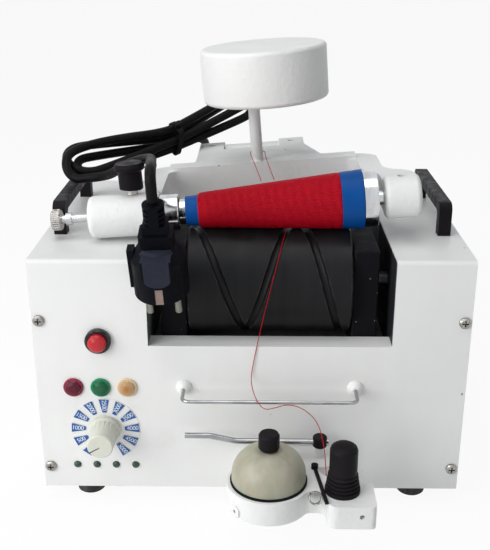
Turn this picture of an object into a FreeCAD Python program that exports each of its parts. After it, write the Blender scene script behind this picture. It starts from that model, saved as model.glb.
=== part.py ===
import FreeCAD, Part
import math
import os

os.makedirs("parts", exist_ok=True)

V = FreeCAD.Vector

# Cone winder: a sheet metal case with a grooved drum in its top, a swinging
# cradle that presses a cone against the drum, and a yarn tension unit in front.
# Millimetres. X runs to the right, Y to the back, Z up from the table.
# Sizes are written from the case: X from its middle, Y from its front face.

# Case of bent sheet steel
case_w = 300.0
case_d = 208.0
case_h = 176.0
foot_h = 12.0
sheet = 1.5
bend_r = 3.0
flange_w = 14.0
top_z = foot_h + case_h
fit = 0.1

# Window in the case for the drum
win_x0 = -71.0
win_x1 = 97.0
win_back = 95.0
lip_z = top_z - 62.6
ledge_depth = 17.5
trough_floor = top_z - 75.0
drive_plate_t = 3.0

# Grooved drum and its drive
drum_y = 45.0
drum_r = 38.0
drum_x0 = -44.0
drum_x1 = 69.5
drum_clear = 0.3
groove_r = 2.8
shaft_r = 5.0
run_fit = 0.05
block_x0 = -63.0
block_gap = 1.0
block_t = 17.5
block_y0 = 18.5
block_y1 = 72.0
block_top = top_z + 0.5
bearing_r = 13.0
bearing_t = 8.0
motor_y = 142.0
motor_z = foot_h + 66.0
motor_r = 28.0
spigot_r = 11.0
motor_len = 66.0
drum_pulley_r = 24.0
motor_pulley_r = 12.0
pulley_x = 105.0
belt_w = 8.0
belt_t = 1.6
belt_gap = 0.3

# Spindle of the cone, tilted so that the cone's lower side is level
tilt = 4.3333
spin_y = 45.0
spin_x = 12.5
spin_z = top_z + 25.2
yarn_mid_r = 15.9
yarn_x0 = -37.0
yarn_x1 = 62.0
yarn_t = 2.0
cone_x0 = -46.0
cone_x1 = 77.0
cone_wall = 1.8
slope = math.tan(math.radians(tilt))
drum_z = spin_z - yarn_mid_r - drum_clear - drum_r

# Cradle casting that carries the spindle
boss_r = 15.0
boss_x0 = -114.2
boss_x1 = -64.0
arm_t = 16.0
arm_h = 22.0
bar_y0 = 120.0
bar_y1 = 136.0
bar_h = 26.0
right_x0 = 92.0
right_x1 = 117.0
bar_x1 = 97.0
plate_x0 = -45.0
plate_x1 = 44.0
hinge_y = case_d - 5.0
plate_y1 = hinge_y - 17.0
plate_t = 10.0
lug_y1 = hinge_y + 16.0
lug_w = 21.0
lug_h = 16.0
hinge_rise = 3.0
hinge_r = 4.0
hinge_fit = 0.08
screw_hole_r = 3.0

# Left centre, its knobs and the chucks
rod_r = 3.0
rod_x0 = -141.0
knurl_r = 7.5
knurl_w = 6.6
cup_r = 12.8
cup_x1 = -50.6
collar_r = 9.0
collar_w = 4.0
slide_travel = 12.0
chuck_r = 19.5
chuck_w = 10.0
nose_len = 10.0
lock_x = -82.5
lock_neck_h = 3.4
lock_hub_r = 8.3
lock_hub_h = 13.5
lock_cap_r = 10.8
lock_cap_h = 5.5
lock_screw_r = 2.5

# Pressing weight on its post
post_x = 5.0
post_r = 4.5
post_h = 47.4
post_seat = 12.0
weight_r = 47.5
weight_h = 40.0
weight_off = 10.0

# Carrying handles
handle_x = 0.5 * case_w - 12.0
handle_y0 = 59.0
handle_pitch = 100.0
handle_h = 23.8
handle_w = 9.0
handle_bar = 7.0

# Controls on the front, set out from the case's left edge
left_x = -0.5 * case_w
button_x = left_x + 45.0
button_z = top_z - 58.4
bezel_r = 9.0
bezel_h = 4.0
cap_r = 6.4
cap_out = 9.0
cap_travel = 2.5
lamp_xs = (left_x + 25.6, left_x + 44.7, left_x + 63.4)
lamp_z = top_z - 94.6
lamp_r = 7.0
dial_x = left_x + 46.3
dial_z = foot_h + 48.0
dial_r = 24.5
dial_t = 0.4
knob_base_r = 11.0
knob_tip_r = 9.0
knob_len = 25.0
led_xs = (left_x + 24.4, left_x + 38.5, left_x + 52.5, left_x + 66.6)
led_z = foot_h + 18.5
led_r = 2.7

# Yarn guide wire in front
wire_r = 1.25
wire_x0 = -46.8
wire_x1 = 72.7
wire_z = top_z - 94.0
wire_out = 21.5
ball_r = 5.5

# Tension and waxing unit
unit_z0 = foot_h + 18.0
unit_z1 = unit_z0 + 16.7
ring_x = 12.4
ring_y = -42.5
ring_r = 28.25
tens_x = 61.0
tens_y = -54.0
unit_x1 = 82.0
unit_y0 = -73.0
wax_r = 25.0
wax_h = 22.0
wax_seat_h = 1.2
guide_r = 2.0
guide_y = -12.0
guide_z = unit_z1 + 11.3
guide_x0 = -46.0
guide_rise = 4.2
clamp_x = 48.5
clamp_r = 5.0
clamp_post_r = 3.5
waist_y = -56.0

# The object's middle from front to back is moved to the origin
front_reach = unit_y0
rear_reach = lug_y1
mid_y = 0.5 * (front_reach + rear_reach)

nodes = {}


def keep(name, shape):
    """Stores one finished node."""
    nodes[name] = shape


def block(x0, x1, y0, y1, z0, z1):
    """A box between two corners."""
    return Part.makeBox(x1 - x0, y1 - y0, z1 - z0, V(x0, y0, z0))


def bar(start, end, radius):
    """A round bar from one point to another."""
    return Part.makeCylinder(radius, start.distanceToPoint(end), start, end.sub(start))


def turned(profile, base, axis):
    """A turned piece: radius and height pairs spun about an axis."""
    points = [V(r, 0, s) for r, s in profile]
    wire = Part.makePolygon(points + points[:1])
    solid = Part.Face(wire).revolve(V(0, 0, 0), V(0, 0, 1), 360)
    solid.Placement = FreeCAD.Placement(base, FreeCAD.Rotation(V(0, 0, 1), axis))
    return solid


def slab(points, z0, z1):
    """A plate with a plan outline, standing between two heights."""
    corners = [V(x, y, z0) for x, y in points]
    return Part.Face(Part.makePolygon(corners + corners[:1])).extrude(V(0, 0, z1 - z0))


def round_edges(solid, radius, test):
    """Rounds the edges whose middle passes the test."""
    edges = [e for e in solid.Edges if test(e)]
    return solid.makeFillet(radius, edges)


def middle(edge):
    return edge.CenterOfMass


def is_upright(edge):
    """True for a straight edge that runs along Z."""
    box = edge.BoundBox
    return box.XLength < 0.01 and box.YLength < 0.01


def tilted(shape):
    """Leans a cradle piece with the spindle, about the middle of the cone."""
    turned_shape = shape.copy()
    turned_shape.rotate(V(spin_x, spin_y, spin_z), V(0, 1, 0), -tilt)
    return turned_shape


def fused(first, *others):
    return first.multiFuse(list(others)).removeSplitter()


def path_tube(points, radius, bend):
    """A bent wire: straight runs joined by tangent arcs of one radius."""
    edges = []
    start = points[0]
    for before, corner, after in zip(points, points[1:], points[2:]):
        back = before.sub(corner).normalize()
        ahead = after.sub(corner).normalize()
        half = 0.5 * back.getAngle(ahead)
        reach = bend / math.tan(half)
        enter = corner.add(V(back) * reach)
        leave = corner.add(V(ahead) * reach)
        inward = V(back.add(ahead)).normalize()
        centre = corner.add(V(inward) * (bend / math.sin(half)))
        mid = centre.sub(V(inward) * bend)
        edges.append(Part.LineSegment(start, enter).toShape())
        edges.append(Part.Arc(enter, mid, leave).toShape())
        start = leave
    edges.append(Part.LineSegment(start, points[-1]).toShape())
    path = Part.Wire(edges)
    first = points[1].sub(points[0])
    section = Part.Wire(Part.makeCircle(radius, points[0], first))
    return path.makePipeShell([section], True, False)


def case_section(inset, tail):
    """Side outline of the case, set in from the front and top faces."""
    radius = bend_r - inset
    y0 = inset
    z1 = top_z - inset
    y1 = case_d + tail
    z0 = foot_h - tail
    swing = radius * (1 - math.sqrt(0.5))
    arc = Part.Arc(V(0, y0, z1 - radius), V(0, y0 + swing, z1 - swing), V(0, y0 + radius, z1))
    lines = [Part.LineSegment(V(0, y0, z0), V(0, y0, z1 - radius)), arc,
             Part.LineSegment(V(0, y0 + radius, z1), V(0, y1, z1)),
             Part.LineSegment(V(0, y1, z1), V(0, y1, z0)),
             Part.LineSegment(V(0, y1, z0), V(0, y0, z0))]
    return Part.Face(Part.Wire([line.toShape() for line in lines]))


def case_prism(inset, tail, x0, x1):
    solid = case_section(inset, tail).extrude(V(x1 - x0, 0, 0))
    solid.translate(V(x0, 0, 0))
    return solid


# Case

screw_x = 0.5 * case_w - 5.0
screw_zs = (top_z - 44.0, foot_h + 17.0)
screw_shank_r = 2.0
screw_len = 7.0
screw_head_r = 4.0
screw_head_h = 2.4


def front_holes():
    """Round holes of the front face as x, z and radius."""
    holes = [(button_x, button_z, bezel_r - 1.4), (dial_x, dial_z, 4.6)]
    holes += [(x, lamp_z, lamp_r - 2) for x in lamp_xs]
    holes += [(x, led_z, led_r) for x in led_xs]
    holes += [(x, wire_z, wire_r + 1.6) for x in (wire_x0, wire_x1)]
    holes += [(s * screw_x, z, screw_shank_r) for s in (-1, 1) for z in screw_zs]
    return holes


def front_top_cover():
    half = 0.5 * case_w
    shell = case_prism(0, 0, -half, half).cut(case_prism(sheet, 1, -half, half))
    window = block(win_x0, win_x1, -1, win_back, lip_z, top_z + 1)
    ledge = block(win_x0, win_x1, sheet, ledge_depth, lip_z - sheet, lip_z)
    cutters = [window]
    for x, z, radius in front_holes():
        cutters.append(bar(V(x, -1, z), V(x, 2 * sheet, z), radius + fit))
    shell = shell.cut(Part.makeCompound(cutters[:1]))
    shell = fused(shell, ledge)
    for cutter in cutters[1:]:
        shell = shell.cut(cutter)
    keep("front_top_cover", shell)


def side_panels():
    half = 0.5 * case_w
    panels = []
    for side in (-1, 1):
        outer = side * half
        inner = side * (half - sheet)
        toe = side * (half - flange_w)
        x0, x1 = sorted((outer, inner))
        skin = case_prism(sheet, -sheet, x0, x1)
        f0, f1 = sorted((inner, toe))
        top = top_z - bend_r - sheet
        front = block(f0, f1, sheet, 2 * sheet, foot_h + 2 * sheet, top)
        rear = block(f0, f1, case_d - 2 * sheet, case_d - sheet, foot_h + 2 * sheet, top)
        panel = fused(skin, front, rear)
        for z in screw_zs:
            hole = bar(V(side * screw_x, 0, z), V(side * screw_x, case_d, z), screw_shank_r + fit)
            panel = panel.cut(hole)
        panels.append(panel)
    keep("side_panels", Part.makeCompound(panels))


gland_x = -60.0
gland_z = foot_h + 48.0
gland_thread_r = 6.0


def rear_panel():
    half = 0.5 * case_w - sheet
    panel = block(-half, half, case_d - sheet, case_d, foot_h + sheet, top_z - sheet)
    for side in (-1, 1):
        for z in screw_zs:
            hole = bar(V(side * screw_x, case_d - 5, z), V(side * screw_x, case_d + 5, z),
                       screw_shank_r + fit)
            panel = panel.cut(hole)
    hole = bar(V(gland_x, case_d - 5, gland_z), V(gland_x, case_d + 5, gland_z),
               gland_thread_r + fit)
    keep("rear_panel", panel.cut(hole))


foot_x = 0.5 * case_w - 30.0
foot_ys = (18.0, case_d - 18.0)
foot_r = 11.0


def base_plate():
    half = 0.5 * case_w - sheet
    plate = block(-half, half, sheet, case_d, foot_h, foot_h + sheet)
    for x in (-foot_x, foot_x):
        for y in foot_ys:
            plate = plate.cut(bar(V(x, y, foot_h - 1), V(x, y, foot_h + 5), 2.2))
    keep("base_plate", plate)


def rubber_feet():
    feet = []
    profile = [(0, 3.5), (3.6, 3.5), (3.6, 0), (foot_r - 1.6, 0), (foot_r - 0.8, 0.8),
               (foot_r, foot_h), (0, foot_h)]
    for x in (-foot_x, foot_x):
        for y in foot_ys:
            feet.append(turned(profile, V(x, y, 0), V(0, 0, 1)))
    keep("rubber_feet", Part.makeCompound(feet))


def pan_screw(base, outward):
    """A pan head screw seated on a face, with a cross recess."""
    head = [(0, -screw_len), (screw_shank_r, -screw_len), (screw_shank_r, 0), (screw_head_r, 0),
            (screw_head_r, 0.5 * screw_head_h), (0.75 * screw_head_r, 0.9 * screw_head_h),
            (0.4 * screw_head_r, screw_head_h), (0, screw_head_h)]
    screw = turned(head, V(0, 0, 0), V(0, 0, 1))
    long_side = 0.55 * screw_head_r
    slot = 0.5
    for a, b in ((long_side, slot), (slot, long_side)):
        screw = screw.cut(block(-a, a, -b, b, 0.3 * screw_head_h, screw_head_h + 1))
    screw.Placement = FreeCAD.Placement(base, FreeCAD.Rotation(V(0, 0, 1), outward))
    return screw


def case_screws():
    screws = []
    for side in (-1, 1):
        for z in screw_zs:
            screws.append(pan_screw(V(side * screw_x, 0, z), V(0, -1, 0)))
            screws.append(pan_screw(V(side * screw_x, case_d, z), V(0, 1, 0)))
    keep("case_screws", Part.makeCompound(screws))


# Drum bay

def drum_trough():
    """Folded tray under the window, open at its right side."""
    under = top_z - sheet
    left = block(win_x0 - sheet, win_x0, sheet, win_back + sheet, trough_floor - sheet, under)
    front = block(win_x0, win_x1, ledge_depth - sheet, ledge_depth, trough_floor - sheet,
                  lip_z - sheet)
    floor = block(win_x0, win_x1, ledge_depth, win_back, trough_floor - sheet, trough_floor)
    back = block(win_x0, win_x1, win_back, win_back + sheet, trough_floor - sheet, under)
    tray = fused(left, front, floor, back)
    corner = case_prism(sheet + fit, -fit, win_x0 - 2 * sheet, win_x1)
    keep("drum_trough", tray.common(corner))


plate_back = 190.0
plate_low = foot_h + sheet


def drive_side_plate():
    """Upright plate that closes the bay and carries the drive."""
    x1 = win_x1 + drive_plate_t
    plate = block(win_x1, x1, 2 * sheet, plate_back, plate_low, top_z - sheet)
    plate = round_edges(plate, 8, lambda e: e.BoundBox.XLength > 2 and middle(e).z > lip_z)
    for y, z, r in ((drum_y, drum_z, shaft_r + 2), (motor_y, motor_z, spigot_r)):
        plate = plate.cut(bar(V(win_x1 - 1, y, z), V(x1 + 1, y, z), r))
    keep("drive_side_plate", plate)


def bearing_blocks():
    right_x = drum_x1 + block_gap
    blocks = []
    for x0, seat in ((block_x0, drum_x0 - block_gap - bearing_t), (right_x, right_x)):
        x1 = drum_x0 - block_gap if x0 < 0 else x0 + block_t
        body = block(x0, x1, block_y0, block_y1, trough_floor, block_top)
        body = round_edges(body, 1.2, lambda e: e.BoundBox.ZLength > 20 or middle(e).z > lip_z)
        body = body.cut(bar(V(x0 - 1, drum_y, drum_z), V(x1 + 1, drum_y, drum_z), shaft_r + 2))
        body = body.cut(bar(V(seat, drum_y, drum_z), V(seat + bearing_t, drum_y, drum_z),
                            bearing_r))
        blocks.append(body)
    keep("bearing_blocks", Part.makeCompound(blocks))


def drum_bearings():
    """Two sealed ball bearings, each with its shield groove."""
    rings = []
    r0 = shaft_r + run_fit
    r1 = bearing_r
    w = bearing_t
    profile = [(r0, 0), (r0 + 2, 0), (r0 + 2, 0.6), (r1 - 2, 0.6), (r1 - 2, 0), (r1, 0), (r1, w),
               (r1 - 2, w), (r1 - 2, w - 0.6), (r0 + 2, w - 0.6), (r0 + 2, w), (r0, w)]
    for x in (drum_x0 - block_gap - bearing_t, drum_x1 + block_gap):
        rings.append(turned(profile, V(x, drum_y, drum_z), V(1, 0, 0)))
    keep("drum_bearings", Part.makeCompound(rings))


# Groove of the drum: it crosses over and back in three turns. Each pair is an
# angle from the drum's top towards its front, in degrees, and a place along X.
groove_out = ((18, -43.5), (47, -40), (127, -20), (179, -7), (407, 36.3), (539, 59.8), (576, 64))
groove_back = ((576, 64), (615, 59.8), (767, 27.1), (899, -0.8), (1060, -36), (1098, -43.5))
groove_turn = -52.0
groove_spans = 8
drum_seam = 35.0


def groove_path(keys):
    """Smooth curve on the drum's face through the keyed angles."""
    points = []
    for (a0, x0), (a1, x1) in zip(keys, keys[1:]):
        count = max(2, int((a1 - a0) / 15))
        for i in range(count):
            share = i / count
            points.append((a0 + share * (a1 - a0), x0 + share * (x1 - x0)))
    points.append(keys[-1])
    smooth = points
    for _ in range(2):
        inner = [(b[0], 0.25 * a[1] + 0.5 * b[1] + 0.25 * c[1])
                 for a, b, c in zip(smooth, smooth[1:], smooth[2:])]
        smooth = [smooth[0]] + inner + [smooth[-1]]
    on_face = []
    for angle, x in smooth:
        turn = math.radians(angle + groove_turn)
        y = drum_y - drum_r * math.sin(turn)
        on_face.append(V(x, y, drum_z + drum_r * math.cos(turn)))
    curve = Part.BSplineCurve()
    curve.interpolate(on_face)
    return curve


def groove_cutters(keys):
    """The groove's round cutter in short spans that meet end to end."""
    curve = groove_path(keys)
    first = curve.FirstParameter
    step = (curve.LastParameter - first) / groove_spans
    cutters = []
    for i in range(groove_spans):
        start = first + i * step
        section = Part.makeCircle(groove_r, curve.value(start), curve.tangent(start)[0])
        span = Part.Wire(curve.toShape(start, start + step))
        cutters.append(span.makePipeShell([Part.Wire(section)], True, False))
    return cutters


def grooved_drum():
    core = bar(V(drum_x0, drum_y, drum_z), V(drum_x1, drum_y, drum_z), drum_r)
    rims = [e for e in core.Edges if e.Length > 100 and e.Vertexes[0].Point == e.Vertexes[-1].Point]
    core = core.makeChamfer(1.0, rims)
    for x, way in ((drum_x0, 1), (drum_x1, -1)):
        dish = turned([(12, -1), (32, -1), (32, 5), (12, 5)], V(x, drum_y, drum_z), V(way, 0, 0))
        core = core.cut(dish)
    core = core.cut(bar(V(drum_x0 - 1, drum_y, drum_z), V(drum_x1 + 1, drum_y, drum_z), shaft_r))
    core.rotate(V(0, drum_y, drum_z), V(1, 0, 0), drum_seam)
    for keys in (groove_out, groove_back):
        for cutter in groove_cutters(keys):
            core = core.cut(cutter)
    for angle, x in (groove_out[0], groove_out[-1]):
        turn = math.radians(angle + groove_turn)
        spot = V(x, drum_y - drum_r * math.sin(turn), drum_z + drum_r * math.cos(turn))
        core = core.cut(Part.makeSphere(groove_r + 0.1, spot))
    keep("grooved_drum", core)


shaft_x1 = 120.0


def drum_shaft():
    shaft = bar(V(block_x0 + 1, drum_y, drum_z), V(shaft_x1, drum_y, drum_z), shaft_r)
    keep("drum_shaft", shaft.makeChamfer(0.6, [e for e in shaft.Edges if e.Length < 40]))


def pulley(radius, bore, y, z):
    """Belt pulley with two side flanges and a hub."""
    flange = radius + belt_t + belt_gap
    w = belt_w + 1.0
    profile = [(bore, 0), (flange, 0), (flange, 1.2), (radius, 1.2), (radius, 1.2 + w),
               (flange, 1.2 + w), (flange, 2.4 + w), (bore, 2.4 + w)]
    return turned(profile, V(pulley_x, y, z), V(1, 0, 0))


def drum_pulley():
    keep("drum_pulley", pulley(drum_pulley_r, shaft_r, drum_y, drum_z))


motor_shaft_r = 4.0


def motor_body():
    x1 = win_x1
    x0 = x1 - motor_len
    body = bar(V(x0, motor_y, motor_z), V(x1 - 4, motor_y, motor_z), motor_r)
    body = body.makeFillet(2.5, [e for e in body.Edges if e.Length > 100 and middle(e).x < x0 + 1])
    flange = block(x1 - 4, x1, motor_y - 30, motor_y + 30, motor_z - 30, motor_z + 30)
    flange = round_edges(flange, 8, lambda e: e.BoundBox.XLength > 2)
    body = fused(body, flange)
    spigot = bar(V(x1, motor_y, motor_z), V(x1 + drive_plate_t, motor_y, motor_z), spigot_r - fit)
    body = fused(body, spigot)
    bore = bar(V(x1 - 20, motor_y, motor_z), V(x1 + 10, motor_y, motor_z),
               motor_shaft_r + run_fit)
    keep("motor_body", body.cut(bore))


def motor_pulley():
    wheel = pulley(motor_pulley_r, 0.001, motor_y, motor_z)
    shaft = bar(V(win_x1 - 19, motor_y, motor_z), V(shaft_x1, motor_y, motor_z), motor_shaft_r)
    plain = bar(V(pulley_x, motor_y, motor_z), V(pulley_x + 5, motor_y, motor_z), motor_shaft_r)
    keep("motor_pulley", fused(wheel, shaft, plain))


def belt_loop(extra):
    """Outline of the belt round both pulleys, grown by a thickness."""
    r1 = drum_pulley_r + belt_gap + extra
    r2 = motor_pulley_r + belt_gap + extra
    span_y = motor_y - drum_y
    span_z = motor_z - drum_z
    span = math.hypot(span_y, span_z)
    base = math.atan2(span_z, span_y)
    spread = math.acos((r1 - r2) / span)

    def spot(cy, cz, radius, angle):
        return V(pulley_x + 1.7, cy + radius * math.cos(angle), cz + radius * math.sin(angle))

    a = spot(drum_y, drum_z, r1, base + spread)
    b = spot(drum_y, drum_z, r1, base + math.pi)
    c = spot(drum_y, drum_z, r1, base - spread)
    d = spot(motor_y, motor_z, r2, base - spread)
    e = spot(motor_y, motor_z, r2, base)
    f = spot(motor_y, motor_z, r2, base + spread)
    edges = [Part.Arc(a, b, c), Part.LineSegment(c, d), Part.Arc(d, e, f), Part.LineSegment(f, a)]
    return Part.Face(Part.Wire([edge.toShape() for edge in edges]))


def drive_belt():
    outer = belt_loop(belt_t).extrude(V(belt_w, 0, 0))
    inner = belt_loop(0).extrude(V(belt_w, 0, 0))
    keep("drive_belt", outer.cut(inner))


def control_board():
    """Circuit board on four posts, with its larger parts."""
    floor = foot_h + sheet
    x0, x1, y0, y1 = -135.0, -35.0, 112.0, 182.0
    post_top = floor + 8
    board = block(x0, x1, y0, y1, post_top, post_top + 1.6)
    parts = [board]
    for x in (x0 + 5, x1 - 5):
        for y in (y0 + 5, y1 - 5):
            parts.append(bar(V(x, y, floor), V(x, y, post_top), 3))
    sit = post_top + 1.6
    parts.append(block(x0 + 12, x0 + 47, y0 + 14, y0 + 44, sit, sit + 28))
    parts.append(block(x0 + 60, x0 + 92, y1 - 20, y1 - 14, sit, sit + 24))
    parts.append(block(x0 + 14, x0 + 54, y1 - 14, y1 - 4, sit, sit + 11))
    for x in (x0 + 60, x0 + 76):
        parts.append(bar(V(x, y0 + 22, sit), V(x, y0 + 22, sit + 24), 7))
    keep("control_board", fused(*parts))


# Controls

def button_bezel():
    y1 = 16.0
    inner = cap_r + 0.3
    barrel = bezel_r - 1.4
    profile = [(inner, -bezel_h), (bezel_r - 0.8, -bezel_h), (bezel_r, -bezel_h + 0.8),
               (bezel_r, 0), (barrel, 0), (barrel, y1), (0, y1), (0, y1 - 2), (inner, y1 - 2)]
    keep("button_bezel", turned(profile, V(button_x, 0, button_z), V(0, 1, 0)))


def push_button():
    r = cap_r
    profile = [(0, -cap_out), (0.45 * r, -cap_out + 0.3), (0.8 * r, -cap_out + 1.1),
               (r, -cap_out + 2.4), (r, 9), (0, 9)]
    keep("push_button", turned(profile, V(button_x, 0, button_z), V(0, 1, 0)))


def pilot_lamps():
    r = lamp_r
    names = ("lamp_red", "lamp_green", "lamp_amber")
    profile = [(0, -4.2), (0.4 * r, -3.9), (0.7 * r, -3.0), (0.82 * r, -1.8), (r - 0.4, -1.6),
               (r, -1.2), (r, 0), (r - 2, 0), (r - 2, 14), (0, 14)]
    for name, x in zip(names, lamp_xs):
        keep(name, turned(profile, V(x, 0, lamp_z), V(0, 1, 0)))


def status_leds():
    r = led_r
    profile = [(0, -2.2), (0.5 * r, -1.9), (0.87 * r, -1.0), (r, 0), (r, 6), (0, 6)]
    lights = [turned(profile, V(x, 0, led_z), V(0, 1, 0)) for x in led_xs]
    keep("status_leds", Part.makeCompound(lights))


def dial_plate():
    profile = [(4.6, -dial_t), (dial_r, -dial_t), (dial_r, 0), (4.6, 0)]
    keep("dial_plate", turned(profile, V(dial_x, 0, dial_z), V(0, 1, 0)))


pot_shaft_r = 3.0


def speed_potentiometer():
    body = [(0, -16), (pot_shaft_r, -16), (pot_shaft_r, -3), (4.5, -3), (4.5, sheet),
            (8.5, sheet), (8.5, sheet + 9), (0, sheet + 9)]
    keep("speed_potentiometer", turned(body, V(dial_x, 0, dial_z), V(0, 1, 0)))


def speed_knob():
    r0 = knob_base_r
    r1 = knob_tip_r
    near = dial_t + 0.4
    profile = [(pot_shaft_r + run_fit, -17), (pot_shaft_r + run_fit, -4), (5.5, -4), (5.5, -near),
               (r0, -near), (r0, -near - 3), (r1 + 0.8, -near - 5), (r1, -knob_len + 0.8),
               (r1 - 0.8, -knob_len), (0, -knob_len), (0, -17)]
    knob = turned(profile, V(dial_x, 0, dial_z), V(0, 1, 0))
    flutes = 18
    for i in range(flutes):
        angle = 2 * math.pi * i / flutes
        x = dial_x + (r1 + 1.2) * math.cos(angle)
        z = dial_z + (r1 + 1.2) * math.sin(angle)
        knob = knob.cut(bar(V(x, -knob_len - 1, z), V(x, -near - 5, z), 0.9))
    keep("speed_knob", knob)


def guide_wire():
    deep = 4.0
    points = [V(wire_x0, deep, wire_z), V(wire_x0, -wire_out, wire_z),
              V(wire_x1, -wire_out, wire_z), V(wire_x1, deep, wire_z)]
    keep("guide_wire", path_tube(points, wire_r, 5.0))


def guide_grommets():
    r = ball_r
    b = wire_r
    neck = b + 1.6
    profile = [(b, -0.9 * r), (0.45 * r, -0.9 * r), (0.8 * r, -0.6 * r), (r, -0.2 * r), (r, 0),
               (neck, 0), (neck, 3), (b, 3)]
    balls = [turned(profile, V(x, 0, wire_z), V(0, 1, 0)) for x in (wire_x0, wire_x1)]
    keep("guide_grommets", Part.makeCompound(balls))


# Handles

def carry_handles():
    grips = []
    half = 0.5 * handle_w
    for x in (-handle_x, handle_x):
        y0 = handle_y0 - half
        y1 = handle_y0 + handle_pitch + half
        outer = block(x - half, x + half, y0, y1, top_z, top_z + handle_h)
        outer = round_edges(outer, 6.0, lambda e: e.BoundBox.XLength > 5 and middle(e).z > top_z + 1)
        inner = block(x - half - 1, x + half + 1, y0 + handle_w, y1 - handle_w, top_z - 1,
                      top_z + handle_h - handle_bar)
        inner = round_edges(inner, 4.0,
                            lambda e: e.BoundBox.XLength > 5 and middle(e).z > top_z + 1)
        grips.append(outer.cut(inner))
    keep("carry_handles", Part.makeCompound(grips))


# Cradle

def straight(points):
    """Straight edges through plan points."""
    return [Part.LineSegment(V(*a, 0), V(*b, 0)).toShape() for a, b in zip(points, points[1:])]


def s_bend(start, end):
    """Two equal arcs that shift a line running along Y sideways."""
    (x0, y0), (x1, y1) = start, end
    r = ((x1 - x0) ** 2 + (y1 - y0) ** 2) / (4 * abs(x1 - x0))
    half = 0.5 * math.asin(0.5 * abs(y1 - y0) / r)
    way = math.copysign(1, y1 - y0)
    off = math.copysign(r * (1 - math.cos(half)), x1 - x0)
    mid = V(0.5 * (x0 + x1), 0.5 * (y0 + y1), 0)
    first = V(x0 + off, y0 + way * r * math.sin(half), 0)
    second = V(x1 - off, y1 - way * r * math.sin(half), 0)
    return [Part.Arc(V(x0, y0, 0), first, mid).toShape(),
            Part.Arc(mid, second, V(x1, y1, 0)).toShape()]


def cradle_casting():
    """White casting: two arms and a bar carry the spindle, a plate and two lugs the hinge."""
    left_arm_x0 = boss_x1 - arm_t
    bend_y0 = spin_y + 18
    bend_y1 = spin_y + 48
    inner = s_bend((right_x0, bend_y0), (bar_x1 - arm_t, bend_y1))
    outer = s_bend((bar_x1, bend_y1), (right_x1, bend_y0))
    first = [(right_x0, spin_y), (right_x0, bend_y0)]
    second = [(bar_x1 - arm_t, bend_y1), (bar_x1 - arm_t, bar_y0), (boss_x1, bar_y0),
              (boss_x1, spin_y), (left_arm_x0, spin_y), (left_arm_x0, bar_y1), (bar_x1, bar_y1),
              (bar_x1, bend_y1)]
    third = [(right_x1, bend_y0), (right_x1, spin_y), (right_x0, spin_y)]
    edges = straight(first) + inner + straight(second) + outer + straight(third)
    frame = Part.Face(Part.Wire(edges)).extrude(V(0, 0, arm_h))
    frame.translate(V(0, 0, spin_z - 0.5 * arm_h))

    def corner(e):
        return is_upright(e) and middle(e).y > bend_y1 + 5

    outer = [e for e in frame.Edges if corner(e) and middle(e).y > bar_y1 - 1]
    frame = frame.makeFillet(15.0, outer)
    inner = [e for e in frame.Edges if corner(e) and abs(middle(e).y - bar_y0) < 0.1]
    frame = frame.makeFillet(9.0, inner)
    beam = block(left_arm_x0 + 16, bar_x1 - 16, bar_y0, bar_y1, spin_z - 0.5 * bar_h,
                 spin_z + 0.5 * bar_h)
    boss = bar(V(boss_x0, spin_y, spin_z), V(boss_x1, spin_y, spin_z), boss_r)
    boss = boss.makeFillet(4.0, [e for e in boss.Edges if abs(middle(e).x - boss_x0) < 0.1])
    head = bar(V(right_x0, spin_y, spin_z), V(right_x1, spin_y, spin_z), boss_r)
    head = head.makeFillet(3.5, [e for e in head.Edges if e.Length > 80])
    z1 = spin_z + 11.0
    z0 = z1 - plate_t
    plate = slab([(plate_x0, bar_y1 - 1), (plate_x1 + 14, bar_y1 - 1), (plate_x1, plate_y1),
                  (plate_x0, plate_y1)], z0, z1)
    body = fused(frame, beam, boss, head, plate)
    hinge_z = spin_z + hinge_rise
    for x0 in (plate_x0, plate_x1 - lug_w):
        lug = block(x0, x0 + lug_w, plate_y1 - 10, lug_y1, hinge_z - 0.5 * lug_h,
                    hinge_z + 0.5 * lug_h)
        lug = round_edges(lug, 6.0, lambda e: e.BoundBox.XLength > 5 and middle(e).y > lug_y1 - 1)
        body = fused(body, lug)
    cuts = [bar(V(plate_x0 - 1, hinge_y, hinge_z), V(plate_x1 + 1, hinge_y, hinge_z),
                hinge_r + hinge_fit)]
    for x in (plate_x0 + 0.5 * lug_w, plate_x1 - 0.5 * lug_w):
        cuts.append(bar(V(x, hinge_y, hinge_z + hinge_r + 1), V(x, hinge_y, hinge_z + 20),
                        screw_hole_r))
    cuts.append(bar(V(boss_x0 - 1, spin_y, spin_z), V(boss_x1 + 1, spin_y, spin_z),
                    rod_r + run_fit))
    cuts.append(bar(V(lock_x, spin_y, spin_z), V(lock_x, spin_y, spin_z + 20),
                    lock_screw_r + run_fit))
    cuts.append(bar(V(right_x0 - 1, spin_y, spin_z), V(right_x1 - 4, spin_y, spin_z),
                    shaft_r + run_fit))
    mid_right = 0.5 * (right_x0 + right_x1)
    cuts.append(bar(V(mid_right, spin_y, spin_z + 8), V(mid_right, spin_y, spin_z + 20),
                    screw_hole_r))
    bar_top = spin_z + 0.5 * bar_h
    bar_y = 0.5 * (bar_y0 + bar_y1)
    cuts.append(bar(V(post_x, bar_y, bar_top - post_seat), V(post_x, bar_y, bar_top + 5), post_r))
    for cutter in cuts:
        body = body.cut(cutter)
    keep("cradle_casting", tilted(body))


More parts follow.
